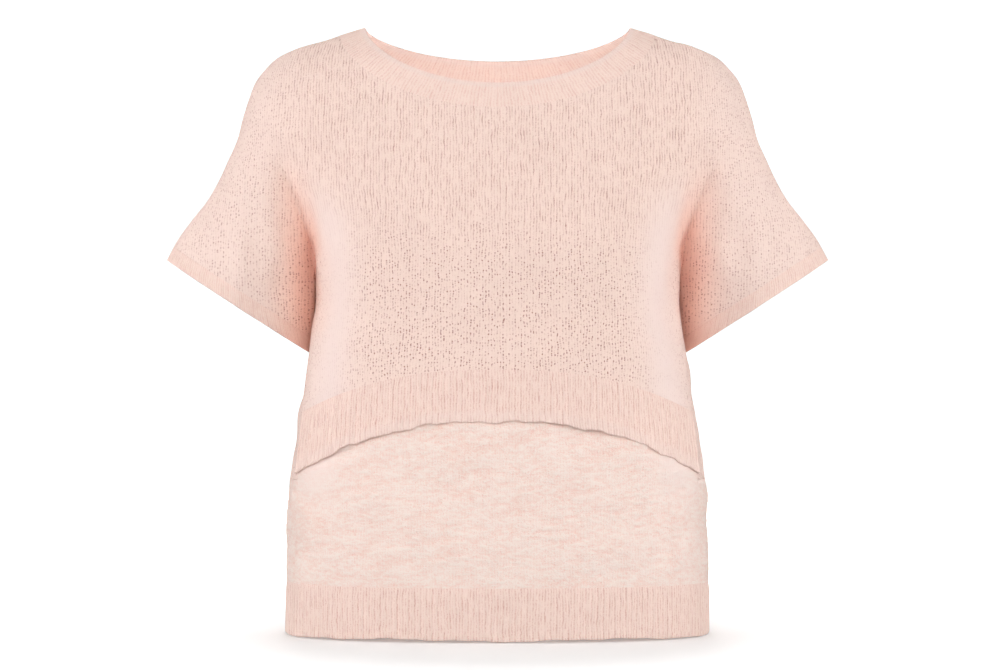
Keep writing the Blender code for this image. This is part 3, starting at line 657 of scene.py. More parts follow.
def panel_places(length):
    shares = np.linspace(0.0, 1.0, SLEEVE_STEPS + 1) ** SLEEVE_STEP_POWER
    return shares * (length - CUFF_DEPTH - SEAM_GAP / 2)


def cuff_places(length):
    return np.array([length - CUFF_DEPTH + SEAM_GAP, length])


def flap_line(neck_steps=NECK_STEPS, shoulder_steps=SHOULDER_STEPS):
    """Drops of the line that the flap hangs from, one for each column of the front."""
    angles = column_angles(FLAP_CENTRE_DROP, "front", neck_steps, shoulder_steps)
    return flap_top_drop(side_share(angles, FLAP_CENTRE_DROP))


def tube_grid(face, top_drop, bottom_drop, rows, steps, outward_of=None):
    """Points of a panel below the fork, between two drops given for every column."""
    grid, places = [], []
    for share in np.linspace(0.0, 1.0, rows + 1):
        drop = top_drop + (bottom_drop - top_drop) * share
        outward = 0.0 if outward_of is None else outward_of(drop)
        angles = column_angles(drop, face, *steps)
        grid.append(tube_points(drop, angles, outward))
        places.append(tube_uv(drop, angles, face))
    return np.array(grid), np.array(places)


def mirror_half(grid, places):
    """The other half of a half grid, its columns still running towards +X."""
    other = grid[:, ::-1] * np.array([-1.0, 1.0, 1.0])
    return other, places[:, ::-1] * np.array([-1.0, 1.0])


def both_halves(grid, places):
    """One grid across both halves of a panel whose first column is the centre line."""
    other, other_places = mirror_half(grid, places)
    joined = np.concatenate([other[:, :-1], grid], axis=1)
    return joined, np.concatenate([other_places[:, :-1], places], axis=1)


# ---- relief --------------------------------------------------------------------------------------
def fold_relief(points, face):
    """How far the listed folds move the cloth out, at points given in space."""
    view = np.stack([points[:, 0], -points[:, 2]], axis=-1)
    moved = np.zeros(len(points))
    for row in FOLDS:
        fold = dict(zip(FOLD_COLUMNS, row))
        if fold["face"] != face:
            continue
        start = np.array([fold["x0"], fold["drop0"]])
        step = np.array([fold["x1"], fold["drop1"]]) - start
        along = np.clip((view - start) @ step / (step @ step), 0.0, 1.0)
        bow = np.sin(2.0 * math.pi * along + 9.0 * fold["x0"]) * fold["half_width"] / 4
        away = view - start - along[:, None] * step
        away[:, 0] += bow
        near = np.exp(-((away**2).sum(1)) / fold["half_width"] ** 2)
        moved += fold["lift"] * near * np.sin(math.pi * along) ** 0.8
    return moved


def wave_relief(points, seed):
    """Gentle unevenness of relaxed cloth, the same at each run."""
    random = np.random.default_rng(seed)
    moved = np.zeros(len(points))
    for _ in range(WAVE_COUNT):
        direction = random.normal(size=3)
        direction /= np.linalg.norm(direction)
        length = random.uniform(*WAVE_LENGTHS)
        phase = random.uniform(0.0, 2.0 * math.pi)
        moved += np.sin(2.0 * math.pi * (points @ direction) / length + phase)
    return WAVE_HEIGHT * moved


def slub_relief(places, seed):
    """Height from 0 to 1 of the slubs: short fat stretches of yarn that lie across the cloth."""
    random = np.random.default_rng(seed)
    low, high = places.reshape(-1, 2).min(0), places.reshape(-1, 2).max(0)
    count = int(SLUBS_PER_SQUARE_METRE * np.prod(high - low))
    height = np.zeros(places.shape[:-1])
    rows = places[:, places.shape[1] // 2, 1]
    for _ in range(count):
        centre = random.uniform(low, high)
        half_length = random.uniform(*SLUB_LENGTHS)
        half_height = random.uniform(*SLUB_HALF_HEIGHTS)
        tilt = math.radians(random.uniform(*SLUB_TILT_DEGREES))
        reach = 2.2 * (half_height + half_length * math.sin(tilt))
        chosen = np.flatnonzero(np.abs(rows - centre[1]) < reach + 0.02)
        if len(chosen) == 0:
            continue
        band = slice(chosen[0], chosen[-1] + 1)
        away = places[band] - centre
        near = np.abs(away[..., 0]) < 2.2 * half_length
        along = away[..., 0] * math.cos(tilt) - away[..., 1] * math.sin(tilt)
        across = away[..., 0] * math.sin(tilt) + away[..., 1] * math.cos(tilt)
        bump = np.exp(-((along / half_length) ** 2) - (across / half_height) ** 2)
        height[band] += np.where(near, bump * random.uniform(0.5, 1.0), 0.0)
    return height / (height + 0.9)


# ---- meshes --------------------------------------------------------------------------------------
def quads_of(shape, face, offset):
    """Corner numbers of a grid's quads, facing out."""
    numbers = offset + np.arange(shape[0] * shape[1]).reshape(shape[:2])
    corners = [numbers[:-1, :-1], numbers[1:, :-1], numbers[1:, 1:], numbers[:-1, 1:]]
    quads = np.stack(corners, axis=-1).reshape(-1, 4)
    return quads if face == "front" else quads[:, ::-1]


def weld(grids, face):
    """One sheet from grids that share borders: points, quads, and each corner's cloth place."""
    quads, offset = [], 0
    for grid, _ in grids:
        quads.append(quads_of(grid.shape, face, offset))
        offset += grid.shape[0] * grid.shape[1]
    quads = np.concatenate(quads)
    points = np.concatenate([grid.reshape(-1, 3) for grid, _ in grids])
    places = np.concatenate([places.reshape(-1, 2) for _, places in grids])
    _, first, number = np.unique(
        np.round(points * 1e6).astype(np.int64), axis=0, return_index=True, return_inverse=True
    )
    return points[first], number.reshape(-1)[quads], places[quads], number.reshape(-1)


def unit(vectors):
    return vectors / np.linalg.norm(vectors, axis=-1, keepdims=True)


def normals_of(points, quads):
    """Each point's outward normal, from the quads round it."""
    corners = points[quads]
    across = np.cross(corners[:, 2] - corners[:, 0], corners[:, 3] - corners[:, 1])
    normals = np.zeros_like(points)
    for corner in range(4):
        np.add.at(normals, quads[:, corner], across)
    return unit(normals)


def border_of(quads, count):
    """True for each point on a free border."""
    edges = np.concatenate([quads[:, [i, (i + 1) % 4]] for i in range(4)])
    _, first, times = np.unique(
        np.sort(edges, axis=1), axis=0, return_index=True, return_counts=True
    )
    border = np.zeros(count, bool)
    border[edges[first[times == 1]].ravel()] = True
    return border


def relax(points, quads, rounds):
    """Evens out a sheet's points between their neighbours, leaving its borders."""
    border = border_of(quads, len(points))
    edges = np.unique(
        np.sort(np.concatenate([quads[:, [i, (i + 1) % 4]] for i in range(4)]), axis=1), axis=0
    )
    degree = np.bincount(edges.ravel(), minlength=len(points))[:, None]
    for _ in range(rounds):
        total = np.zeros_like(points)
        np.add.at(total, edges[:, 0], points[edges[:, 1]])
        np.add.at(total, edges[:, 1], points[edges[:, 0]])
        moved = 0.5 * points + 0.5 * total / degree
        points = np.where(border[:, None], points, moved)
    return points


def border_distance(points, quads, reach):
    """Each point's rough distance from the free borders, up to a reach, by walking the edges."""
    edges = np.unique(
        np.sort(np.concatenate([quads[:, [i, (i + 1) % 4]] for i in range(4)]), axis=1), axis=0
    )
    lengths = np.linalg.norm(points[edges[:, 0]] - points[edges[:, 1]], axis=1)
    distance = np.where(border_of(quads, len(points)), 0.0, reach)
    for _ in range(60):
        before = distance.copy()
        np.minimum.at(distance, edges[:, 0], distance[edges[:, 1]] + lengths)
        np.minimum.at(distance, edges[:, 1], distance[edges[:, 0]] + lengths)
        if np.allclose(before, distance):
            break
    return distance


def make_object(name, points, faces, places):
    """A mesh object of these faces, with a UV map in metres along the cloth."""
    mesh = bpy.data.meshes.new(name)
    mesh.from_pydata(points.tolist(), [], faces.tolist())
    layer = mesh.uv_layers.new(name="cloth")
    layer.data.foreach_set("uv", places.reshape(-1).astype(np.float32))
    mesh.shade_smooth()
    piece = bpy.data.objects.new(name, mesh)
    bpy.context.scene.collection.objects.link(piece)
    return piece


def apply_modifiers(piece):
    bpy.ops.object.select_all(action="DESELECT")
    bpy.context.view_layer.objects.active = piece
    piece.select_set(True)
    for modifier in list(piece.modifiers):
        bpy.ops.object.modifier_apply(modifier=modifier.name)


def give_wall(piece, settings):
    """Gives a sheet its thickness, inwards."""
    wall = piece.modifiers.new("wall", "SOLIDIFY")
    wall.thickness = settings.wall
    wall.offset = -1.0
    apply_modifiers(piece)


def store(piece, name, values):
    """Stores a value for each point, which the material reads."""
    layer = piece.data.attributes.new(name, "FLOAT", "POINT")
    layer.data.foreach_set("value", np.broadcast_to(values, len(piece.data.vertices)).astype("f"))


def sharpen_rims(piece):
    """Keeps the cut edges of a wall crisp, and everything else smooth."""
    bpy.ops.object.select_all(action="DESELECT")
    bpy.context.view_layer.objects.active = piece
    piece.select_set(True)
    bpy.ops.object.shade_smooth_by_angle(angle=RIM_ANGLE)


def finish_piece(piece, node, material):
    """Puts a piece in place of its solid, and says what cloth it was cut from."""
    piece.data.materials.clear()
    piece.data.materials.append(material)
    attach(piece, "root")
    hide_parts(node)


def valley_shade_mask(points):
    """Painted shade: 1 in the valley under the arm, where shade falls between arm and body, and 0
    past its sides.
    """
    across, drop = np.abs(points[:, 0]), -points[:, 2]
    from_valley = across - np.interp(drop, *np.array(ARMHOLE).T[::-1])
    outward = np.exp(-((np.maximum(from_valley, 0.0) / VALLEY_SHADE_WIDTH) ** 2))
    inward = np.exp(-((np.minimum(from_valley, 0.0) / (VALLEY_SHADE_WIDTH / 4)) ** 2))
    return outward * inward * smooth_step(*VALLEY_SHADE_DROPS, drop)


def panel(name, grids, face, settings, seed, relief=None):
    """A sheet of cloth from its grids, with folds, waves and any stitch relief, and its wall."""
    points, quads, places, number = weld(grids, face)
    points = relax(points, quads, RELAX_ROUNDS)
    from_border = border_distance(points, quads, BORDER_REACH)
    held = 1.0 - np.exp(-((from_border / SEAM_HOLD) ** 2))
    normals = normals_of(points, quads)
    moved = (fold_relief(points, face) * settings.folds + wave_relief(points, seed)) * held
    values = np.zeros(len(points))
    if relief is not None:
        values[number] = relief.reshape(-1)
        left_at_seam = SLUBS_AT_SEAM + (1.0 - SLUBS_AT_SEAM) * held
        moved += values * settings.slub_height * left_at_seam
    drop = -points[:, 2]
    # Painted valley shade: it fades out down the yoke and covers all of the sleeves.
    under_arm = 1.0 - smooth_step(*YOKE_VALLEY_SHADE_END, drop)
    if len(grids) > 1:
        sizes = [grid[..., 0].size for grid, _ in grids]
        under_arm[number[sizes[0] : sum(sizes[:3])]] = 1.0
    side = np.abs(points[:, 0]) / body("half_width", drop)
    on_torso = 1.0 - smooth_step(*TORSO_END, side) * (drop < FORK_DROP)
    # Nap with a painted highlight band down the torso's sides, where the side light falls, and
    # fainter on the upper sleeves.
    beside = smooth_step(*HIGHLIGHT_DROPS[:2], drop) * (1.0 - smooth_step(*HIGHLIGHT_DROPS[2:], drop))
    nap_and_highlight = np.exp(-(((side - HIGHLIGHT_CENTRE) / HIGHLIGHT_WIDTH) ** 2)) * beside * on_torso
    below_chest = smooth_step(*PIT_DROPS, drop)
    sleeves = smooth_step(*PIT_SIDES, np.abs(points[:, 0]))
    nap_and_highlight = np.maximum(nap_and_highlight, SLEEVE_HIGHLIGHT * sleeves * (drop < SLEEVE_HIGHLIGHT_DROP))
    points = points + normals * moved[:, None]
    piece = make_object(name, points, quads, places)
    store(piece, "relief", values)
    store(piece, "nap_and_highlight", nap_and_highlight)
    store(piece, "pitted", PITS_AT_LEAST + PITS_MORE * np.maximum(below_chest, sleeves))
    # Painted shade in the valley under the arm.
    store(piece, "valley_shade", valley_shade_mask(points) * under_arm)
    give_wall(piece, settings)
    sharpen_rims(piece)
    return piece


# ---- ribbed bands --------------------------------------------------------------------------------
def resample(stretch, steps):
    """A stretch's points and normals at even steps along it, its last point left out."""
    points, normals = stretch
    along = np.concatenate([[0.0], np.cumsum(np.linalg.norm(np.diff(points, axis=0), axis=1))])
    at = np.linspace(0.0, along[-1], steps + 1)[:-1]
    line = np.stack([np.interp(at, along, points[:, i]) for i in range(3)], axis=1)
    turned = np.stack([np.interp(at, along, normals[:, i]) for i in range(3)], axis=1)
    return line, turned


def band_columns(stretches, ribs, closed):
    """Points and normals of a band's line, and the last point of an open line."""
    parts = [resample(part, COLUMNS_PER_RIB * count) for part, count in zip(stretches, ribs)]
    if not closed:
        points, normals = stretches[-1]
        parts.append((points[-1:], normals[-1:]))
    line, turned = (np.concatenate(values) for values in zip(*parts))
    return line, unit(turned)


def band_relief(points, amount, seed):
    """Small unevenness of a band's ribs, the same at each run."""
    return amount * wave_relief(points, seed) / WAVE_HEIGHT / WAVE_COUNT


def ribbed_band(top, edge, closed, settings, seed, edge_wobble=None, ribs=1.0, edge_nap_and_highlight=0.0):
    """A ribbed band from a seam line to a rounded free edge, ribbed on both faces."""
    lengths = [np.linalg.norm(np.diff(points, axis=0), axis=1).sum() for points, _ in edge]
    counts = [round(length / settings.rib_pitch) for length in lengths]
    top_line, top_normals = band_columns(top, counts, closed)
    edge_line, edge_normals = band_columns(edge, counts, closed)
    columns = len(edge_line)
    if edge_wobble is not None:
        edge_line = edge_line + edge_wobble(edge_line, edge_normals)
    down = unit(edge_line - top_line)
    radius = settings.wall / 2
    end = edge_line - down * radius
    depth = np.linalg.norm(edge_line - top_line, axis=1).mean()
    rows = max(3, round(depth / RIB_ROW_HEIGHT))
    phase = 2.0 * math.pi * np.arange(columns) / COLUMNS_PER_RIB
    crest = (0.5 - 0.5 * np.cos(phase)) ** CREST_POWER
    rib_height = settings.rib_height * ribs
    sections, heights, naps_and_highlights = [], [], []
    top_line = top_line - down * TUCK
    ahead = np.concatenate([[0.0], np.linspace(TUCK / depth, 1.0, rows + 1)])
    for side in ("outer", "inner"):
        for share in ahead if side == "outer" else ahead[::-1]:
            line = top_line + (end - top_line) * share
            normals = unit(top_normals + (edge_normals - top_normals) * share)
            rise = smooth_step(0.0, RIB_START / depth, share)
            crests = crest if side == "outer" else 1.0 - crest
            uneven = band_relief(line, BAND_UNEVENNESS, seed) * rise
            offset = crests * rib_height * rise + uneven
            if side == "inner":
                offset = uneven - settings.wall - crests * rib_height * rise
            if share == 0.0:
                offset = offset - (TUCK / 2 if side == "outer" else -TUCK / 2)
            sections.append(line + normals * offset[:, None])
            # The inner face is painted paler, as painted light inside the body.
            pale = 0.0 if side == "outer" else INNER_PAINTED_LIGHT
            heights.append(0.5 + pale + (crests - 0.5) * rise * (1.0 - pale))
            # Nap and painted highlight along the free edge.
            naps_and_highlights.append(np.full(columns, edge_nap_and_highlight * smooth_step(*EDGE_HIGHLIGHT_FROM_TO, share)))
        if side == "outer":
            for turn in np.linspace(math.pi / 2, -math.pi / 2, EDGE_ARC_STEPS + 2)[1:-1]:
                lift = (crest * (turn > 0) + (1 - crest) * (turn < 0)) * rib_height
                out = radius * math.sin(turn) - radius + lift * math.sin(turn)
                out = out + band_relief(end, BAND_UNEVENNESS, seed)
                line = end + down * radius * math.cos(turn) + edge_normals * out[:, None]
                sections.append(line)
                heights.append(0.5 + (crest - 0.5) * max(0.0, math.sin(turn)))
                naps_and_highlights.append(np.full(columns, edge_nap_and_highlight))
    grid = np.array(sections)
    loops = len(grid)
    across = np.concatenate([[0.0], np.cumsum(np.linalg.norm(np.diff(edge_line, axis=0), axis=1))])
    across = across / across[-1] * (columns - 1) / COLUMNS_PER_RIB * settings.rib_pitch
    downs = [depth * share for share in ahead]
    downs += [depth + 0.0005 * step for step in range(1, EDGE_ARC_STEPS + 1)]
    downs += [depth * (2.0 - share) + 0.003 for share in ahead[::-1]]
    numbers = np.arange(loops * columns).reshape(loops, columns)
    last = columns if closed else columns - 1
    faces, places = [], []
    for loop in range(loops):
        after = (loop + 1) % loops
        for_columns = np.arange(last)
        beside = (for_columns + 1) % columns
        faces.append(
            np.stack(
                [
                    numbers[loop, for_columns],
                    numbers[after, for_columns],
                    numbers[after, beside],
                    numbers[loop, beside],
                ],
                axis=-1,
            )
        )
        here, there = downs[loop], downs[after] if after else downs[loop] + settings.wall
        near = across[for_columns]
        far = np.append(across[1:], across[-1] + across[1])[for_columns]
        corner_places = [[near, here], [near, there], [far, there], [far, here]]
        places.append(
            np.stack([np.stack(np.broadcast_arrays(*place), axis=-1) for place in corner_places], 1)
        )
    faces, places = np.concatenate(faces), np.concatenate(places)
    looks = np.cross(grid[1, 0] - grid[0, 0], grid[0, 1] - grid[0, 0])
    turned_over = looks @ top_normals[0] < 0
    values = np.array(heights).reshape(-1), np.array(naps_and_highlights).reshape(-1)
    return grid.reshape(-1, 3), faces, places, values, turned_over, numbers


def make_band(name, parts, closed):
    """The band's mesh object, its open ends closed with a strip of quads."""
    points, faces, places, (heights, naps_and_highlights), turned_over, numbers = parts
    faces, places = faces.tolist(), places.tolist()
    if not closed:
        loops = len(numbers)
        for column in (0, -1):
            ring = numbers[:, column]
            for step in range(loops // 2 - 1):
                quad = [ring[step], ring[step + 1], ring[-step - 2], ring[-step - 1]]
                faces.append(quad[::-1] if column == 0 else quad)
                places.append([[0.0, 0.0]] * 4)
            if loops % 2:
                middle = loops // 2
                tip = [ring[middle - 1], ring[middle], ring[middle + 1]]
                faces.append(tip[::-1] if column == 0 else tip)
                places.append([[0.0, 0.0]] * 3)
    if turned_over:
        faces = [face[::-1] for face in faces]
        places = [place[::-1] for place in places]
    mesh = bpy.data.meshes.new(name)
    mesh.from_pydata(points.tolist(), [], faces)
    layer = mesh.uv_layers.new(name="cloth")
    flat = np.concatenate([np.array(place).reshape(-1) for place in places])
    layer.data.foreach_set("uv", flat.astype(np.float32))
    mesh.shade_smooth()
    piece = bpy.data.objects.new(name, mesh)
    bpy.context.scene.collection.objects.link(piece)
    store(piece, "relief", heights)
    # Nap and painted highlight along the band's free edge.
    store(piece, "nap_and_highlight", naps_and_highlights)
    store(piece, "pitted", PITS_AT_LEAST)
    return piece


def mirrored_line(points, normals):
    """A line from side to side, from its half that starts at the centre."""
    flip = np.array([-1.0, 1.0, 1.0])
    line = np.concatenate([points[::-1] * flip, points[1:]])
    return line, np.concatenate([normals[::-1] * flip, normals[1:]])


def tube_normals(drop, angle):
    """Outward normals of the body tube, from short steps round it and down it."""
    step = 0.004
    ahead = np.minimum(angle + step, math.pi)
    behind = np.maximum(angle - step, 0.0)
    round_it = tube_points(drop, ahead) - tube_points(drop, behind)
    down_it = tube_points(drop + WALL, angle) - tube_points(drop - WALL, angle)
    normals = np.cross(down_it, round_it)
    normals[np.abs(np.sin(angle)) < step, 0] = 0.0
    return unit(normals)


def row_normals(first, second, outward):
    """Normals of a strip between two lines of points, on the side that outward points to."""
    normals = np.cross(np.gradient(first, axis=0), second - first)
    normals = unit(normals * np.sign(np.sum(normals * outward, axis=1))[:, None])
    normals[first[:, 0] < SEAM_GAP / 2, 0] = 0.0
    return unit(normals)


# ---- materials -----------------------------------------------------------------------------------
def linear(colour):
    """An sRGB hex colour as linear RGB."""
    values = [int(colour[i : i + 2], 16) / 255 for i in (0, 2, 4)]
    return [v / 12.92 if v <= 0.04045 else ((v + 0.055) / 1.055) ** 2.4 for v in values]


def add_node(tree, kind, inputs=None, **settings):
    """Adds a node with its settings. An input is a value or the socket that feeds it."""
    node = tree.nodes.new(kind)
    for name, value in settings.items():
        setattr(node, name, value)
    for name, value in (inputs or {}).items():
        if isinstance(value, bpy.types.NodeSocket):
            tree.links.new(value, node.inputs[name])
        else:
            node.inputs[name].default_value = value
    return node


def new_material(name, roughness, sheen):
    material = bpy.data.materials.new(name)
    material.use_nodes = True
    tree = material.node_tree
    shader = tree.nodes["Principled BSDF"]
    shader.inputs["Roughness"].default_value = roughness
    shader.inputs["Specular IOR Level"].default_value = 0.15
    shader.inputs["Sheen Weight"].default_value = sheen
    shader.inputs["Sheen Roughness"].default_value = 0.45
    shader.inputs["Sheen Tint"].default_value = (1.0, 0.88, 0.83, 1.0)
    return material, tree, shader


def calculate(tree, operation, *values, clamp=False):
    """The result of one sum on sockets or numbers."""
    inputs = dict(enumerate(values))
    node = add_node(tree, "ShaderNodeMath", inputs, operation=operation, use_clamp=clamp)
    return node.outputs[0]


def noise(tree, place, size, detail=2.0, roughness=0.5):
    """Noise around 0, with patches of this size."""
    inputs = {"Vector": place, "Scale": 1.0 / size, "Detail": detail, "Roughness": roughness}
    found = add_node(tree, "ShaderNodeTexNoise", inputs).outputs["Fac"]
    return calculate(tree, "SUBTRACT", found, 0.5)


def ramp(tree, value, low, high):
    """0 below one value and 1 above the other."""
    inputs = {"Value": value, "From Min": low, "From Max": high}
    return add_node(tree, "ShaderNodeMapRange", inputs).outputs["Result"]


def mix_colours(tree, share, first, second):
    """The first colour at a share of 0 and the second at 1."""
    inputs = {"Factor": share, "A": first, "B": second}
    return add_node(tree, "ShaderNodeMix", inputs, data_type="RGBA").outputs["Result"]


def attribute(tree, name):
    return add_node(tree, "ShaderNodeAttribute", attribute_name=name).outputs["Fac"]


def stitch_height(tree, cloth, settings):
    """Height of plain stitches: upright columns, broken into pits where the cloth is pitted."""
    apart = add_node(tree, "ShaderNodeSeparateXYZ", {0: cloth})
    wander = noise(tree, cloth, WANDER_SIZE, detail=3.0, roughness=0.45)
    ripple = noise(tree, cloth, RIPPLE_SIZE, detail=1.0)
    u = calculate(tree, "MULTIPLY_ADD", wander, settings.stitch_wander, apart.outputs["X"])
    u = calculate(tree, "MULTIPLY_ADD", ripple, settings.stitch_wander * RIPPLE_SHARE, u)
    column = calculate(tree, "DIVIDE", u, settings.wale_pitch)
    row = calculate(tree, "DIVIDE", apart.outputs["Y"], settings.course_pitch)
    line = calculate(tree, "MULTIPLY_ADD", calculate(tree, "PINGPONG", column, 0.5), -2.0, 1.0)
    centred = calculate(tree, "ADD", column, 0.5)
    odd = calculate(tree, "MODULO", calculate(tree, "FLOOR", centred), 2.0)
    staggered = calculate(tree, "MULTIPLY_ADD", odd, 0.5, row)
    cell = add_node(tree, "ShaderNodeCombineXYZ", {0: centred, 1: staggered}).outputs[0]
    stitches = add_node(
        tree,
        "ShaderNodeTexVoronoi",
        {"Vector": cell, "Scale": 1.0, "Randomness": STITCH_UNEVENNESS},
    )
    pit = ramp(tree, stitches.outputs["Distance"], *PIT_FADE)
    drawn = add_node(tree, "ShaderNodeSeparateXYZ", {0: stitches.outputs["Color"]}).outputs[0]
    darkness = calculate(tree, "MULTIPLY_ADD", drawn, PIT_RANDOM, PIT_EVEN)
    pit = calculate(tree, "MULTIPLY", pit, darkness)
    pit = calculate(tree, "MULTIPLY", line, calculate(tree, "ADD", pit, PIT_LINE))
    upright = {"Vector": cloth, "Scale": BREAK_STRETCH}
    upright = add_node(tree, "ShaderNodeMapping", upright).outputs["Vector"]
    breaks = noise(tree, upright, BREAK_SIZE)
    broken = calculate(tree, "MULTIPLY_ADD", breaks, BREAK_CONTRAST, BREAK_LEVEL, clamp=True)
    gap = calculate(tree, "MULTIPLY", line, broken)
    patches = calculate(tree, "MULTIPLY", noise(tree, cloth, PATCH_SIZE), PATCH_CONTRAST)
    pitted = calculate(tree, "ADD", attribute(tree, "pitted"), patches, clamp=True)
    dark = add_node(tree, "ShaderNodeMix", {"Factor": pitted, 2: gap, 3: pit}).outputs[0]
    return calculate(tree, "SUBTRACT", 1.0, dark)


def knit_material(name, colour, shade, settings, stitches=1.12, relief=0.0, slubs=0.0):
    """Brushed fine-gauge knit of a light wool-blend yarn.

    Its columns of stitches catch the light, and the pits and lines between them are drawn deeper by
    the bump and painted darker and pinker in the shade colour, as painted shade. Where the nap lies
    it softens the bump, and a painted highlight lifts the tone and pales it with a cool haze, so
    nothing shines. A stitch is 2 mm high and 2.75 mm wide, as on a fine-gauge machine, and the
    fibres are drawn coarser than they are, so that they show.
    """
    material, tree, shader = new_material(name, roughness=0.95, sheen=0.14)
    cloth = add_node(tree, "ShaderNodeUVMap", uv_map="cloth").outputs["UV"]
    fuzz = noise(tree, cloth, FUZZ_SIZE, detail=2.0, roughness=0.7)
    clumps = noise(tree, cloth, CLUMP_SIZE, detail=2.0)
    mottle = noise(tree, cloth, MOTTLE_SIZE, detail=3.0)
    height = calculate(tree, "MULTIPLY_ADD", fuzz, FUZZ_STRENGTH, 0.5)
    if stitches:
        knit = calculate(tree, "SUBTRACT", stitch_height(tree, cloth, settings), 0.5)
        height = calculate(tree, "MULTIPLY_ADD", knit, stitches, height)
    if relief:
        ribs = calculate(tree, "SUBTRACT", attribute(tree, "relief"), 0.5)
        height = calculate(tree, "MULTIPLY_ADD", ribs, relief, height)
    if slubs:
        lying = add_node(
            tree,
            "ShaderNodeMapping",
            {"Vector": cloth, "Rotation": (0.0, 0.0, STREAK_TILT), "Scale": STREAK_STRETCH},
        ).outputs["Vector"]
        streaks = noise(tree, lying, STREAK_SIZE, detail=3.0, roughness=0.65)
        height = calculate(tree, "MULTIPLY_ADD", streaks, slubs, height)
        raised = calculate(tree, "SUBTRACT", attribute(tree, "relief"), SLUB_LEVEL)
        height = calculate(tree, "MULTIPLY_ADD", raised, slubs * SLUB_SHARE, height)
    height = calculate(tree, "MULTIPLY_ADD", clumps, CLUMP_STRENGTH, height)
    # Nap and painted highlight: the nap squeezes the relief; the painted highlight lifts the tone
    # and mixes in a pale cool haze.
    nap_and_highlight = attribute(tree, "nap_and_highlight")
    left = calculate(tree, "MULTIPLY_ADD", nap_and_highlight, -NAP_HIDES, 1.0)
    softened = calculate(tree, "MULTIPLY", calculate(tree, "SUBTRACT", height, NAP_LEVEL), left)
    height = calculate(tree, "ADD", softened, NAP_LEVEL)
    bump = add_node(
        tree,
        "ShaderNodeBump",
        {"Height": height, "Strength": settings.stitch_strength, "Distance": BUMP_DEPTH},
    )
    tree.links.new(bump.outputs["Normal"], shader.inputs["Normal"])
    # Painted shade: low parts of the relief, above all the gaps and pits between stitches, are
    # painted towards the darker shade colour.
    tone = ramp(tree, height, 0.0, FULL_TONE)
    tone = calculate(tree, "MULTIPLY_ADD", mottle, MOTTLE_STRENGTH, tone)
    tone = calculate(tree, "MULTIPLY_ADD", nap_and_highlight, HIGHLIGHT_TONE, tone, clamp=True)
    yarn = mix_colours(tree, tone, (*shade, 1.0), (*colour, 1.0))
    haze = calculate(tree, "MULTIPLY", nap_and_highlight, HIGHLIGHT_HAZE)
    brushed = mix_colours(tree, haze, yarn, (*settings.highlight_colour, 1.0))
    # Painted shade: the valley under the arm is multiplied by a deeper tint.
    valley_shaded = add_node(
        tree,
        "ShaderNodeMix",
        {"Factor": attribute(tree, "valley_shade"), "A": brushed, "B": (*settings.valley_shade_tint, 1.0)},
        data_type="RGBA",
        blend_type="MULTIPLY",
    ).outputs["Result"]
    tree.links.new(valley_shaded, shader.inputs["Base Color"])
    return material


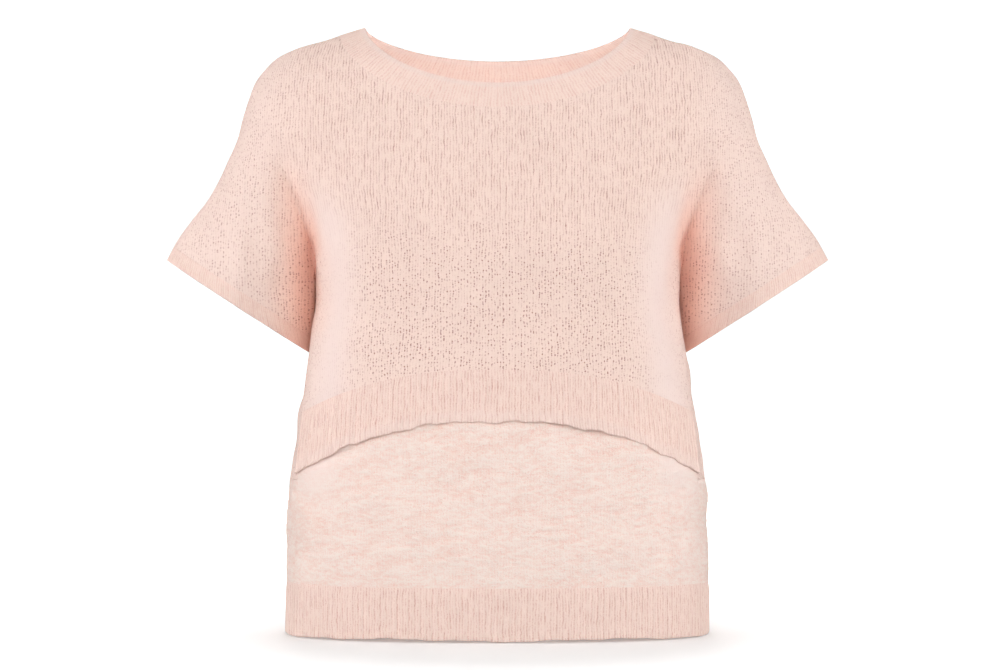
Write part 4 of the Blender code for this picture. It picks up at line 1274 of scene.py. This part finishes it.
# ---- settings ------------------------------------------------------------------------------------
class SweaterSettings(bpy.types.PropertyGroup):
    """Sizes and colours of the knitted cloth."""

    wall: bpy.props.FloatProperty(
        name="Cloth thickness", description="Wall of the cloth", default=WALL, unit="LENGTH"
    )
    folds: bpy.props.FloatProperty(
        name="Folds", description="How strong the soft folds are", default=1.0, min=0.0
    )
    slub_height: bpy.props.FloatProperty(
        name="Slub height",
        description="How far the fat stretches of yarn stand out",
        default=0.0013,
        unit="LENGTH",
    )
    wale_pitch: bpy.props.FloatProperty(
        name="Stitch column",
        description="Width of one column of stitches",
        default=0.00275,
        unit="LENGTH",
    )
    course_pitch: bpy.props.FloatProperty(
        name="Stitch row", description="Height of one row of stitches", default=0.002, unit="LENGTH"
    )
    stitch_wander: bpy.props.FloatProperty(
        name="Stitch wander",
        description="How far the columns of stitches stray sideways",
        default=0.0035,
        unit="LENGTH",
    )
    stitch_strength: bpy.props.FloatProperty(
        name="Stitch relief", description="Strength of the stitches' bump", default=0.75, min=0.0
    )
    rib_pitch: bpy.props.FloatProperty(
        name="Rib pitch", description="From one rib to the next", default=0.0055, unit="LENGTH"
    )
    rib_height: bpy.props.FloatProperty(
        name="Rib height",
        description="How far a rib stands out of its groove",
        default=0.0008,
        unit="LENGTH",
    )
    smooth_colour: bpy.props.FloatVectorProperty(
        name="Smooth knit",
        description="Brushed pale pink of the upper panels",
        default=linear("FFE3D7"),
        subtype="COLOR",
    )
    # Painted shade: the darker colour painted into the gaps and pits between stitches.
    smooth_shade: bpy.props.FloatVectorProperty(
        name="Smooth knit gaps",
        description="The same yarn between the stitches",
        default=linear("C68D7E"),
        subtype="COLOR",
    )
    # Painted highlight: the pale cool haze mixed in down the torso's sides, on the sleeves and at
    # band edges.
    highlight_colour: bpy.props.FloatVectorProperty(
        name="Brushed nap",
        description="Painted highlight: a cool pale haze down the sides, on the sleeves and at band edges",
        default=linear("F3DFDA"),
        subtype="COLOR",
    )
    # Painted shade: the deeper tint of the valley under the arms.
    valley_shade_tint: bpy.props.FloatVectorProperty(
        name="Painted valley shade",
        description="Painted shade: a deeper tint in the valley under the arms",
        default=linear("FFE8DF"),
        subtype="COLOR",
    )
    slub_colour: bpy.props.FloatVectorProperty(
        name="Slub knit",
        description="Paler peach of the fat yarn",
        default=linear("FFECE2"),
        subtype="COLOR",
    )
    slub_shade: bpy.props.FloatVectorProperty(
        name="Slub knit gaps",
        description="The slub knit between its fat stretches",
        default=linear("F6C9BA"),
        subtype="COLOR",
    )
    rib_colour: bpy.props.FloatVectorProperty(
        name="Rib knit",
        description="Crests of the ribs",
        default=linear("FFE3D7"),
        subtype="COLOR",
    )
    rib_shade: bpy.props.FloatVectorProperty(
        name="Rib knit grooves",
        description="Grooves between the ribs",
        default=linear("DAA192"),
        subtype="COLOR",
    )
    # Painted light: the narrow bands' grooves are paler than the hem's, to lift the shade that
    # falls on the cuffs and neckband.
    narrow_shade_painted_lighter: bpy.props.FloatVectorProperty(
        name="Narrow rib grooves",
        description="Grooves of the neckband and the cuffs, painted paler against their shade",
        default=linear("EAB9AB"),
        subtype="COLOR",
    )


class StageSettings(bpy.types.PropertyGroup):
    """Light on the sweater and the pale floor."""

    front_side_power: bpy.props.FloatProperty(
        name="Main lights",
        description="Power of each of the two main softboxes",
        default=14.0,
        unit="POWER",
    )
    right_share: bpy.props.FloatProperty(
        name="Right lights",
        description="Power of the softboxes on the right, as a share of those on the left",
        default=0.92,
        min=0.0,
    )
    side_power: bpy.props.FloatProperty(
        name="Side lights",
        description="Power of each softbox square to a side",
        default=21.0,
        unit="POWER",
    )
    front_power: bpy.props.FloatProperty(
        name="Front light",
        description="Power of the softbox above the camera",
        default=31.0,
        unit="POWER",
    )
    neck_power: bpy.props.FloatProperty(
        name="Neck fill",
        description="Power of the small light inside the body that fills the neck",
        default=0.222,
        unit="POWER",
    )
    back_power: bpy.props.FloatProperty(
        name="Back light",
        description="Power of the softbox that lights the back",
        default=55.0,
        unit="POWER",
    )
    top_power: bpy.props.FloatProperty(
        name="Top light", description="Power of the overhead softbox", default=10.0, unit="POWER"
    )
    sky: bpy.props.FloatProperty(
        name="Fill", description="Strength of the even white fill light", default=0.345, min=0.0
    )
    paper_glow: bpy.props.FloatProperty(
        name="Paper glow",
        description="Extra light of the white paper far from the sweater, as if lit from behind",
        default=0.85,
        min=0.0,
    )
    # Painted shadow: the paper's lower glow under and beside the sweater, which reads as a soft
    # shadow round the hem.
    painted_shadow_glow: bpy.props.FloatProperty(
        name="Paper glow near by",
        description="Extra light of the paper under and beside the sweater",
        default=0.2,
        min=0.0,
    )


# ---- pieces --------------------------------------------------------------------------------------
class SWEATER_OT_upper_panels(bpy.types.Operator):
    """Makes the smooth front and back with their grown-on half sleeves"""

    bl_idname = "sweater.upper_panels"
    bl_label = "Upper panels"

    def execute(self, context):
        settings = context.scene.sweater
        material = knit_material(
            "brushed plain knit", settings.smooth_colour, settings.smooth_shade, settings
        )
        for face, seed in (("front", 11), ("back", 12)):
            yoke = yoke_grid(face)
            sleeve = sleeve_grid(face, panel_places)
            sleeve[0][:, 0] = yoke[0][:, -1]
            steps = (NECK_STEPS, SHOULDER_STEPS)
            fork = np.full(sum(steps) + 1, FORK_DROP)
            if face == "front":
                top = flap_line()
                rows = round((top[-1] - FORK_DROP) / ROW_HEIGHT)
                lower = tube_grid(
                    face, fork, top - SEAM_GAP / 2, rows, steps, lambda d: flap_outward(d, top)
                )
            else:
                foot = np.full(len(fork), BACK_SEAM_DROP - SEAM_GAP / 2)
                rows = round((BACK_SEAM_DROP - FORK_DROP) / ROW_HEIGHT)
                lower = tube_grid(face, fork, foot, rows, steps, side_lift)
            lower[0][0] = yoke[0][-1]
            grids = [both_halves(*yoke), sleeve, mirror_half(*sleeve), both_halves(*lower)]
            piece = panel("knit_" + face + "_body", grids, face, settings, seed)
            finish_piece(piece, face + "_body", material)
        return {"FINISHED"}


class SWEATER_OT_lower_panels(bpy.types.Operator):
    """Makes the slub-knit lower front and back"""

    bl_idname = "sweater.lower_panels"
    bl_label = "Lower panels"

    def execute(self, context):
        settings = context.scene.sweater
        # Slub knit: its fat, soft stretches of yarn give pale streaks on a faintly pinker ground.
        colours = settings.slub_colour, settings.slub_shade
        material = knit_material("slub knit", *colours, settings, stitches=0.28, slubs=1.2)
        for face, seed, steps in (("front", 21, (84, 36)), ("back", 22, (112, 48))):
            foot = np.full(sum(steps) + 1, HEM_RIB_TOP_DROP - SEAM_GAP / 2)
            if face == "front":
                top = flap_line(*steps) + SEAM_GAP
            else:
                top = np.full(sum(steps) + 1, BACK_SEAM_DROP + SEAM_GAP / 2)
            rows = round((HEM_RIB_TOP_DROP - top.min()) / SLUB_SPACING)
            grid = both_halves(*tube_grid(face, top, foot, rows, steps))
            relief = slub_relief(grid[1], seed)
            piece = panel("knit_lower_" + face, [grid], face, settings, seed, relief)
            finish_piece(piece, "lower_" + face, material)
        return {"FINISHED"}


def rib_material(settings, name, shade, stitches, relief):
    """Rib knit, whose crests are rounded and pale and whose narrow grooves fall into shade."""
    found = bpy.data.materials.get(name)
    if found:
        return found
    return knit_material(name, settings.rib_colour, shade, settings, stitches, relief)


def wide_rib_material(settings):
    """Rib knit of the flap and the hem."""
    return rib_material(settings, "ribbed knit", settings.rib_shade, 0.9, 0.1)


def narrow_rib_material(settings):
    """The finer rib knit of the neckband and the cuffs, its grooves painted paler to lift the shade
    on these bands.
    """
    return rib_material(settings, "narrow ribbed knit", settings.narrow_shade_painted_lighter, 0.75, 0.05)


class SWEATER_OT_neckband(bpy.types.Operator):
    """Makes the ribbed band round the neck"""

    bl_idname = "sweater.neckband"
    bl_label = "Neckband"

    def execute(self, context):
        settings = context.scene.sweater
        halves = []
        for face in ("front", "back"):
            end_drop = on_curve(OVERARM_LINE, BAND_END_SHARE)[1]
            centre_drop = neck_drop(face) + NECKBAND_DEPTH
            line = upper_surface(neck_curve(face, BAND_END_X, centre_drop, end_drop), face)
            line[-1, 1] = 0.0
            inner = upper_surface(neck_curve(face, NECK_HALF_WIDTH, neck_drop(face), 0.0), face)
            inner[-1, 1] = 0.0
            facing = np.zeros_like(line) + np.array([0.0, FACING[face], 0.3])
            normals = row_normals(line, inner, facing)
            edge_normals = row_normals(inner, line, facing)
            halves.append((line, normals, inner, edge_normals))
        front, back = halves
        for number in (1, 3):
            shared = unit(front[number][-1] + back[number][-1])
            front[number][-1] = shared
            back[number][-1] = shared
        top, edge = [], []
        for lines, start in ((top, 0), (edge, 2)):
            flip = np.array([-1.0, 1.0, 1.0])
            a, b = (front[start], front[start + 1]), (back[start], back[start + 1])
            lines.append(a)
            lines.append((b[0][::-1], b[1][::-1]))
            lines.append((b[0] * flip, b[1] * flip))
            lines.append((a[0][::-1] * flip, a[1][::-1] * flip))
        # Painted highlight along the neckband's rolled edge.
        parts = ribbed_band(top, edge, True, settings, 31, ribs=0.35, edge_nap_and_highlight=0.45)
        piece = make_band("knit_neckband", parts, True)
        material = narrow_rib_material(settings)
        finish_piece(piece, "neckband", material)
        return {"FINISHED"}


class SWEATER_OT_cuffs(bpy.types.Operator):
    """Makes the narrow ribbed cuffs"""

    bl_idname = "sweater.cuffs"
    bl_label = "Cuffs"

    def execute(self, context):
        settings = context.scene.sweater
        seams = (0, SLEEVE_ROWS)
        grids = {face: sleeve_grid(face, cuff_places)[0] for face in ("front", "back")}
        middle = (grids["front"] + grids["back"]) / 2
        inner, edge = [], []
        for face in ("front", "back"):
            grid = grids[face]
            grid[seams, :] = middle[seams, :]
            facing = np.zeros_like(grid[:, 0]) + np.array([0.0, FACING[face], 0.0])
            top_normals = row_normals(grid[:, 0], grid[:, 1], facing)
            edge_normals = row_normals(grid[:, 1], grid[:, 0], facing)
            order = 1 if face == "front" else -1
            inner.append([grid[::order, 0].copy(), top_normals[::order].copy()])
            edge.append([grid[::order, 1].copy(), edge_normals[::order].copy()])
        for line in (inner, edge):
            for first, second in ((0, 1), (1, 0)):
                shared = unit(line[first][1][-1] + line[second][1][0])
                line[first][1][-1] = shared
                line[second][1][0] = shared
        material = narrow_rib_material(settings)
        for side, sign in (("left", 1.0), ("right", -1.0)):
            flip = np.array([sign, 1.0, 1.0])
            lines = [[(p * flip, n * flip) for p, n in line] for line in (inner, edge)]
            name = "knit_cuff_" + side
            parts = ribbed_band(lines[0], lines[1], True, settings, 41, ribs=0.25)
            piece = make_band(name, parts, True)
            # The cuffs take the painted valley shade near the underarm too.
            store(piece, "valley_shade", valley_shade_mask(parts[0]))
            finish_piece(piece, "cuff_" + side, material)
        return {"FINISHED"}


class SWEATER_OT_flap(bpy.types.Operator):
    """Makes the curved ribbed flap over the lower front"""

    bl_idname = "sweater.flap"
    bl_label = "Flap"

    def execute(self, context):
        settings = context.scene.sweater
        top_drop = flap_line()
        foot = top_drop - SEAM_GAP / 2
        angles = column_angles(foot, "front")
        top = tube_points(top_drop, angles, flap_outward(foot, top_drop))
        top_normals = tube_normals(top_drop, angles)
        at_centre = column_angles(FLAP_CENTRE_DROP, "front")
        drop = flap_edge_drop(side_share(at_centre, FLAP_CENTRE_DROP))
        angles = column_angles(drop, "front")
        edge = tube_points(drop, angles, WALL + FLAP_EDGE_STANDOFF)
        edge_normals = tube_normals(drop, angles)
        lines = [mirrored_line(top, top_normals), mirrored_line(edge, edge_normals)]
        # Painted highlight on the flap's free edge, against the shade that falls on its underside.
        parts = ribbed_band([lines[0]], [lines[1]], False, settings, 51, scalloped, edge_nap_and_highlight=0.3)
        piece = make_band("knit_flap", parts, False)
        material = wide_rib_material(settings)
        finish_piece(piece, "front_flap_rib", material)
        return {"FINISHED"}


def scalloped(line, normals):
    """The flap's edge draws up a little between its ribs, and waves in and out."""
    random = np.random.default_rng(52)
    along = np.concatenate([[0.0], np.cumsum(np.linalg.norm(np.diff(line, axis=0), axis=1))])
    moved = np.zeros((len(line), 3))
    for length, rise in FLAP_WAVES:
        phase = random.uniform(0.0, 2.0 * math.pi)
        moved[:, 2] += rise * np.sin(2.0 * math.pi * along / length + phase)
        phase = random.uniform(0.0, 2.0 * math.pi)
        wave = 0.5 * rise * np.sin(2.0 * math.pi * along / length / 1.3 + phase)
        moved += normals * wave[:, None]
    held = np.minimum(along, along[-1] - along)
    return moved * smooth_step(0.0, EDGE_HOLD, held)[:, None]


def hem_wobble(line, normals):
    """The hem hangs a little unevenly."""
    random = np.random.default_rng(62)
    along = np.concatenate([[0.0], np.cumsum(np.linalg.norm(np.diff(line, axis=0), axis=1))])
    moved = np.zeros((len(line), 3))
    for length, rise in HEM_WAVES:
        phase = random.uniform(0.0, 2.0 * math.pi)
        moved[:, 2] += rise * (1.0 + np.sin(2.0 * math.pi * along / length + phase))
    held = np.minimum(along, along[-1] - along)
    return moved * smooth_step(0.0, EDGE_HOLD, held)[:, None]


class SWEATER_OT_hem(bpy.types.Operator):
    """Makes the ribbed hem, front and back"""

    bl_idname = "sweater.hem"
    bl_label = "Hem"

    def execute(self, context):
        settings = context.scene.sweater
        material = wide_rib_material(settings)
        for face, seed in (("front", 61), ("back", 62)):
            lines = []
            for drop in (HEM_RIB_TOP_DROP + SEAM_GAP / 2, HEM_DROP):
                drops = np.full(NECK_STEPS + SHOULDER_STEPS + 1, drop)
                angles = column_angles(drops, face)
                half = tube_points(drops, angles), tube_normals(drops, angles)
                lines.append(mirrored_line(*half))
            name = "knit_hem_" + face
            parts = ribbed_band(
                [lines[0]], [lines[1]], False, settings, seed, edge_wobble=hem_wobble
            )
            piece = make_band(name, parts, False)
            finish_piece(piece, "hem_rib_" + face, material)
        return {"FINISHED"}


# ---- stage ---------------------------------------------------------------------------------------
def softbox(name, place, target, size, power, colour):
    """A square softbox that looks at a point."""
    light = bpy.data.lights.new(name, "AREA")
    light.shape = "SQUARE"
    light.size = size
    light.energy = power
    light.color = colour
    lamp = bpy.data.objects.new(name, light)
    lamp.location = place
    lamp.rotation_euler = (Vector(target) - Vector(place)).to_track_quat("-Z", "Y").to_euler()
    lamp.visible_camera = False
    bpy.context.scene.collection.objects.link(lamp)


class SWEATER_OT_stage(bpy.types.Operator):
    """Makes the pale floor, the soft light and the camera"""

    bl_idname = "sweater.stage"
    bl_label = "Stage"

    def execute(self, context):
        stage = context.scene.sweater_stage
        bpy.ops.object.select_all(action="DESELECT")
        # Matt uncoated paper that glows evenly white away from the sweater; round the hem its glow
        # is lower, which paints a soft shadow there on top of the lamps' own shadows.
        paper = bpy.data.materials.new("white studio paper")
        paper.use_nodes = True
        shader = paper.node_tree.nodes["Principled BSDF"]
        shader.inputs["Base Color"].default_value = PAPER_COLOUR
        shader.inputs["Roughness"].default_value = 1.0
        shader.inputs["Specular IOR Level"].default_value = 0.0
        shader.inputs["Emission Color"].default_value = (1.0, 1.0, 1.0, 1.0)
        tree = paper.node_tree
        place = add_node(tree, "ShaderNodeTexCoord").outputs["Object"]
        place = add_node(
            tree, "ShaderNodeMapping", {"Vector": place, "Scale": PAINTED_SHADOW_STRETCH}
        ).outputs["Vector"]
        away = add_node(tree, "ShaderNodeVectorMath", {0: place}, operation="LENGTH")
        # Painted shadow: the glow drops to its low value near the sweater.
        far = ramp(tree, away.outputs["Value"], *PAINTED_SHADOW_EDGES)
        glow = calculate(
            tree, "MULTIPLY_ADD", far, stage.paper_glow - stage.painted_shadow_glow, stage.painted_shadow_glow
        )
        tree.links.new(glow, shader.inputs["Emission Strength"])
        floor_z = -HEM_DROP - FLOOR_GAP
        bpy.ops.mesh.primitive_plane_add(size=SHEET_SIZE, location=(0.0, 0.0, floor_z))
        floor = context.active_object
        floor.name = "floor"
        sheets = [floor]
        for turn in range(4):
            angle = turn * math.pi / 2
            bpy.ops.mesh.primitive_plane_add(
                size=SHEET_SIZE,
                location=(-WALL_DISTANCE * math.sin(angle), WALL_DISTANCE * math.cos(angle), 0.0),
                rotation=(math.pi / 2, 0.0, angle),
            )
            backdrop = context.active_object
            backdrop.name = "backdrop"
            backdrop.visible_shadow = turn == 0
            sheets.append(backdrop)
        for sheet in sheets:
            bpy.ops.object.select_all(action="DESELECT")
            context.view_layer.objects.active = sheet
            sheet.select_set(True)
            bpy.ops.object.transform_apply(location=True, rotation=True, scale=True)
            sheet.data.materials.append(paper)
            sheet.visible_diffuse = False
        world = bpy.data.worlds.new("even white fill")
        world.use_nodes = True
        background = world.node_tree.nodes["Background"]
        background.inputs["Color"].default_value = (1.0, 1.0, 1.0, 1.0)
        background.inputs["Strength"].default_value = stage.sky
        context.scene.world = world
        context.scene.view_settings.view_transform = "Standard"
        for name, place, target, size, setting in SOFTBOXES:
            power = getattr(stage, setting) * (stage.right_share if place[0] > 0.0 else 1.0)
            softbox(name, place, target, size, power, COOL if name == "neck fill" else WHITE)
        camera = bpy.data.cameras.new("camera")
        camera.sensor_width = SENSOR_WIDTH_MM
        camera.lens = SENSOR_WIDTH_MM * CAMERA_DISTANCE / VIEW_WIDTH
        camera.shift_x = (IMAGE_WIDTH_PX / 2 - CENTRE_LINE_PX) / IMAGE_WIDTH_PX
        camera.shift_y = (EYE_LEVEL_PX - IMAGE_HEIGHT_PX / 2) / IMAGE_WIDTH_PX
        eye = bpy.data.objects.new("camera", camera)
        eye.location = (0.0, -CAMERA_DISTANCE, -CAMERA_DROP)
        eye.rotation_euler = (math.pi / 2, 0.0, 0.0)
        context.scene.collection.objects.link(eye)
        context.scene.camera = eye
        return {"FINISHED"}


class VIEW3D_PT_sweater(bpy.types.Panel):
    """Buttons for the sweater's pieces"""

    bl_label = "Layered sweater"
    bl_space_type = "VIEW_3D"
    bl_region_type = "UI"
    bl_category = "Sweater"

    def draw(self, context):
        column = self.layout.column()
        for operator in OPERATORS:
            column.operator(operator.bl_idname)
        for group in (context.scene.sweater, context.scene.sweater_stage):
            for name in group.bl_rna.properties.keys():
                if name not in ("rna_type", "name"):
                    column.prop(group, name)


OPERATORS = (
    SWEATER_OT_upper_panels,
    SWEATER_OT_lower_panels,
    SWEATER_OT_neckband,
    SWEATER_OT_cuffs,
    SWEATER_OT_flap,
    SWEATER_OT_hem,
    SWEATER_OT_stage,
)
CLASSES = (SweaterSettings, StageSettings, *OPERATORS, VIEW3D_PT_sweater)


def register():
    for each in CLASSES:
        bpy.utils.register_class(each)
    bpy.types.Scene.sweater = bpy.props.PointerProperty(type=SweaterSettings)
    bpy.types.Scene.sweater_stage = bpy.props.PointerProperty(type=StageSettings)


def unregister():
    del bpy.types.Scene.sweater_stage
    del bpy.types.Scene.sweater
    for each in reversed(CLASSES):
        bpy.utils.unregister_class(each)


def main():
    register()
    bpy.ops.sweater.upper_panels()
    bpy.ops.sweater.lower_panels()
    bpy.ops.sweater.neckband()
    bpy.ops.sweater.cuffs()
    bpy.ops.sweater.flap()
    bpy.ops.sweater.hem()
    bpy.ops.sweater.stage()


if __name__ == "__main__":
    main()
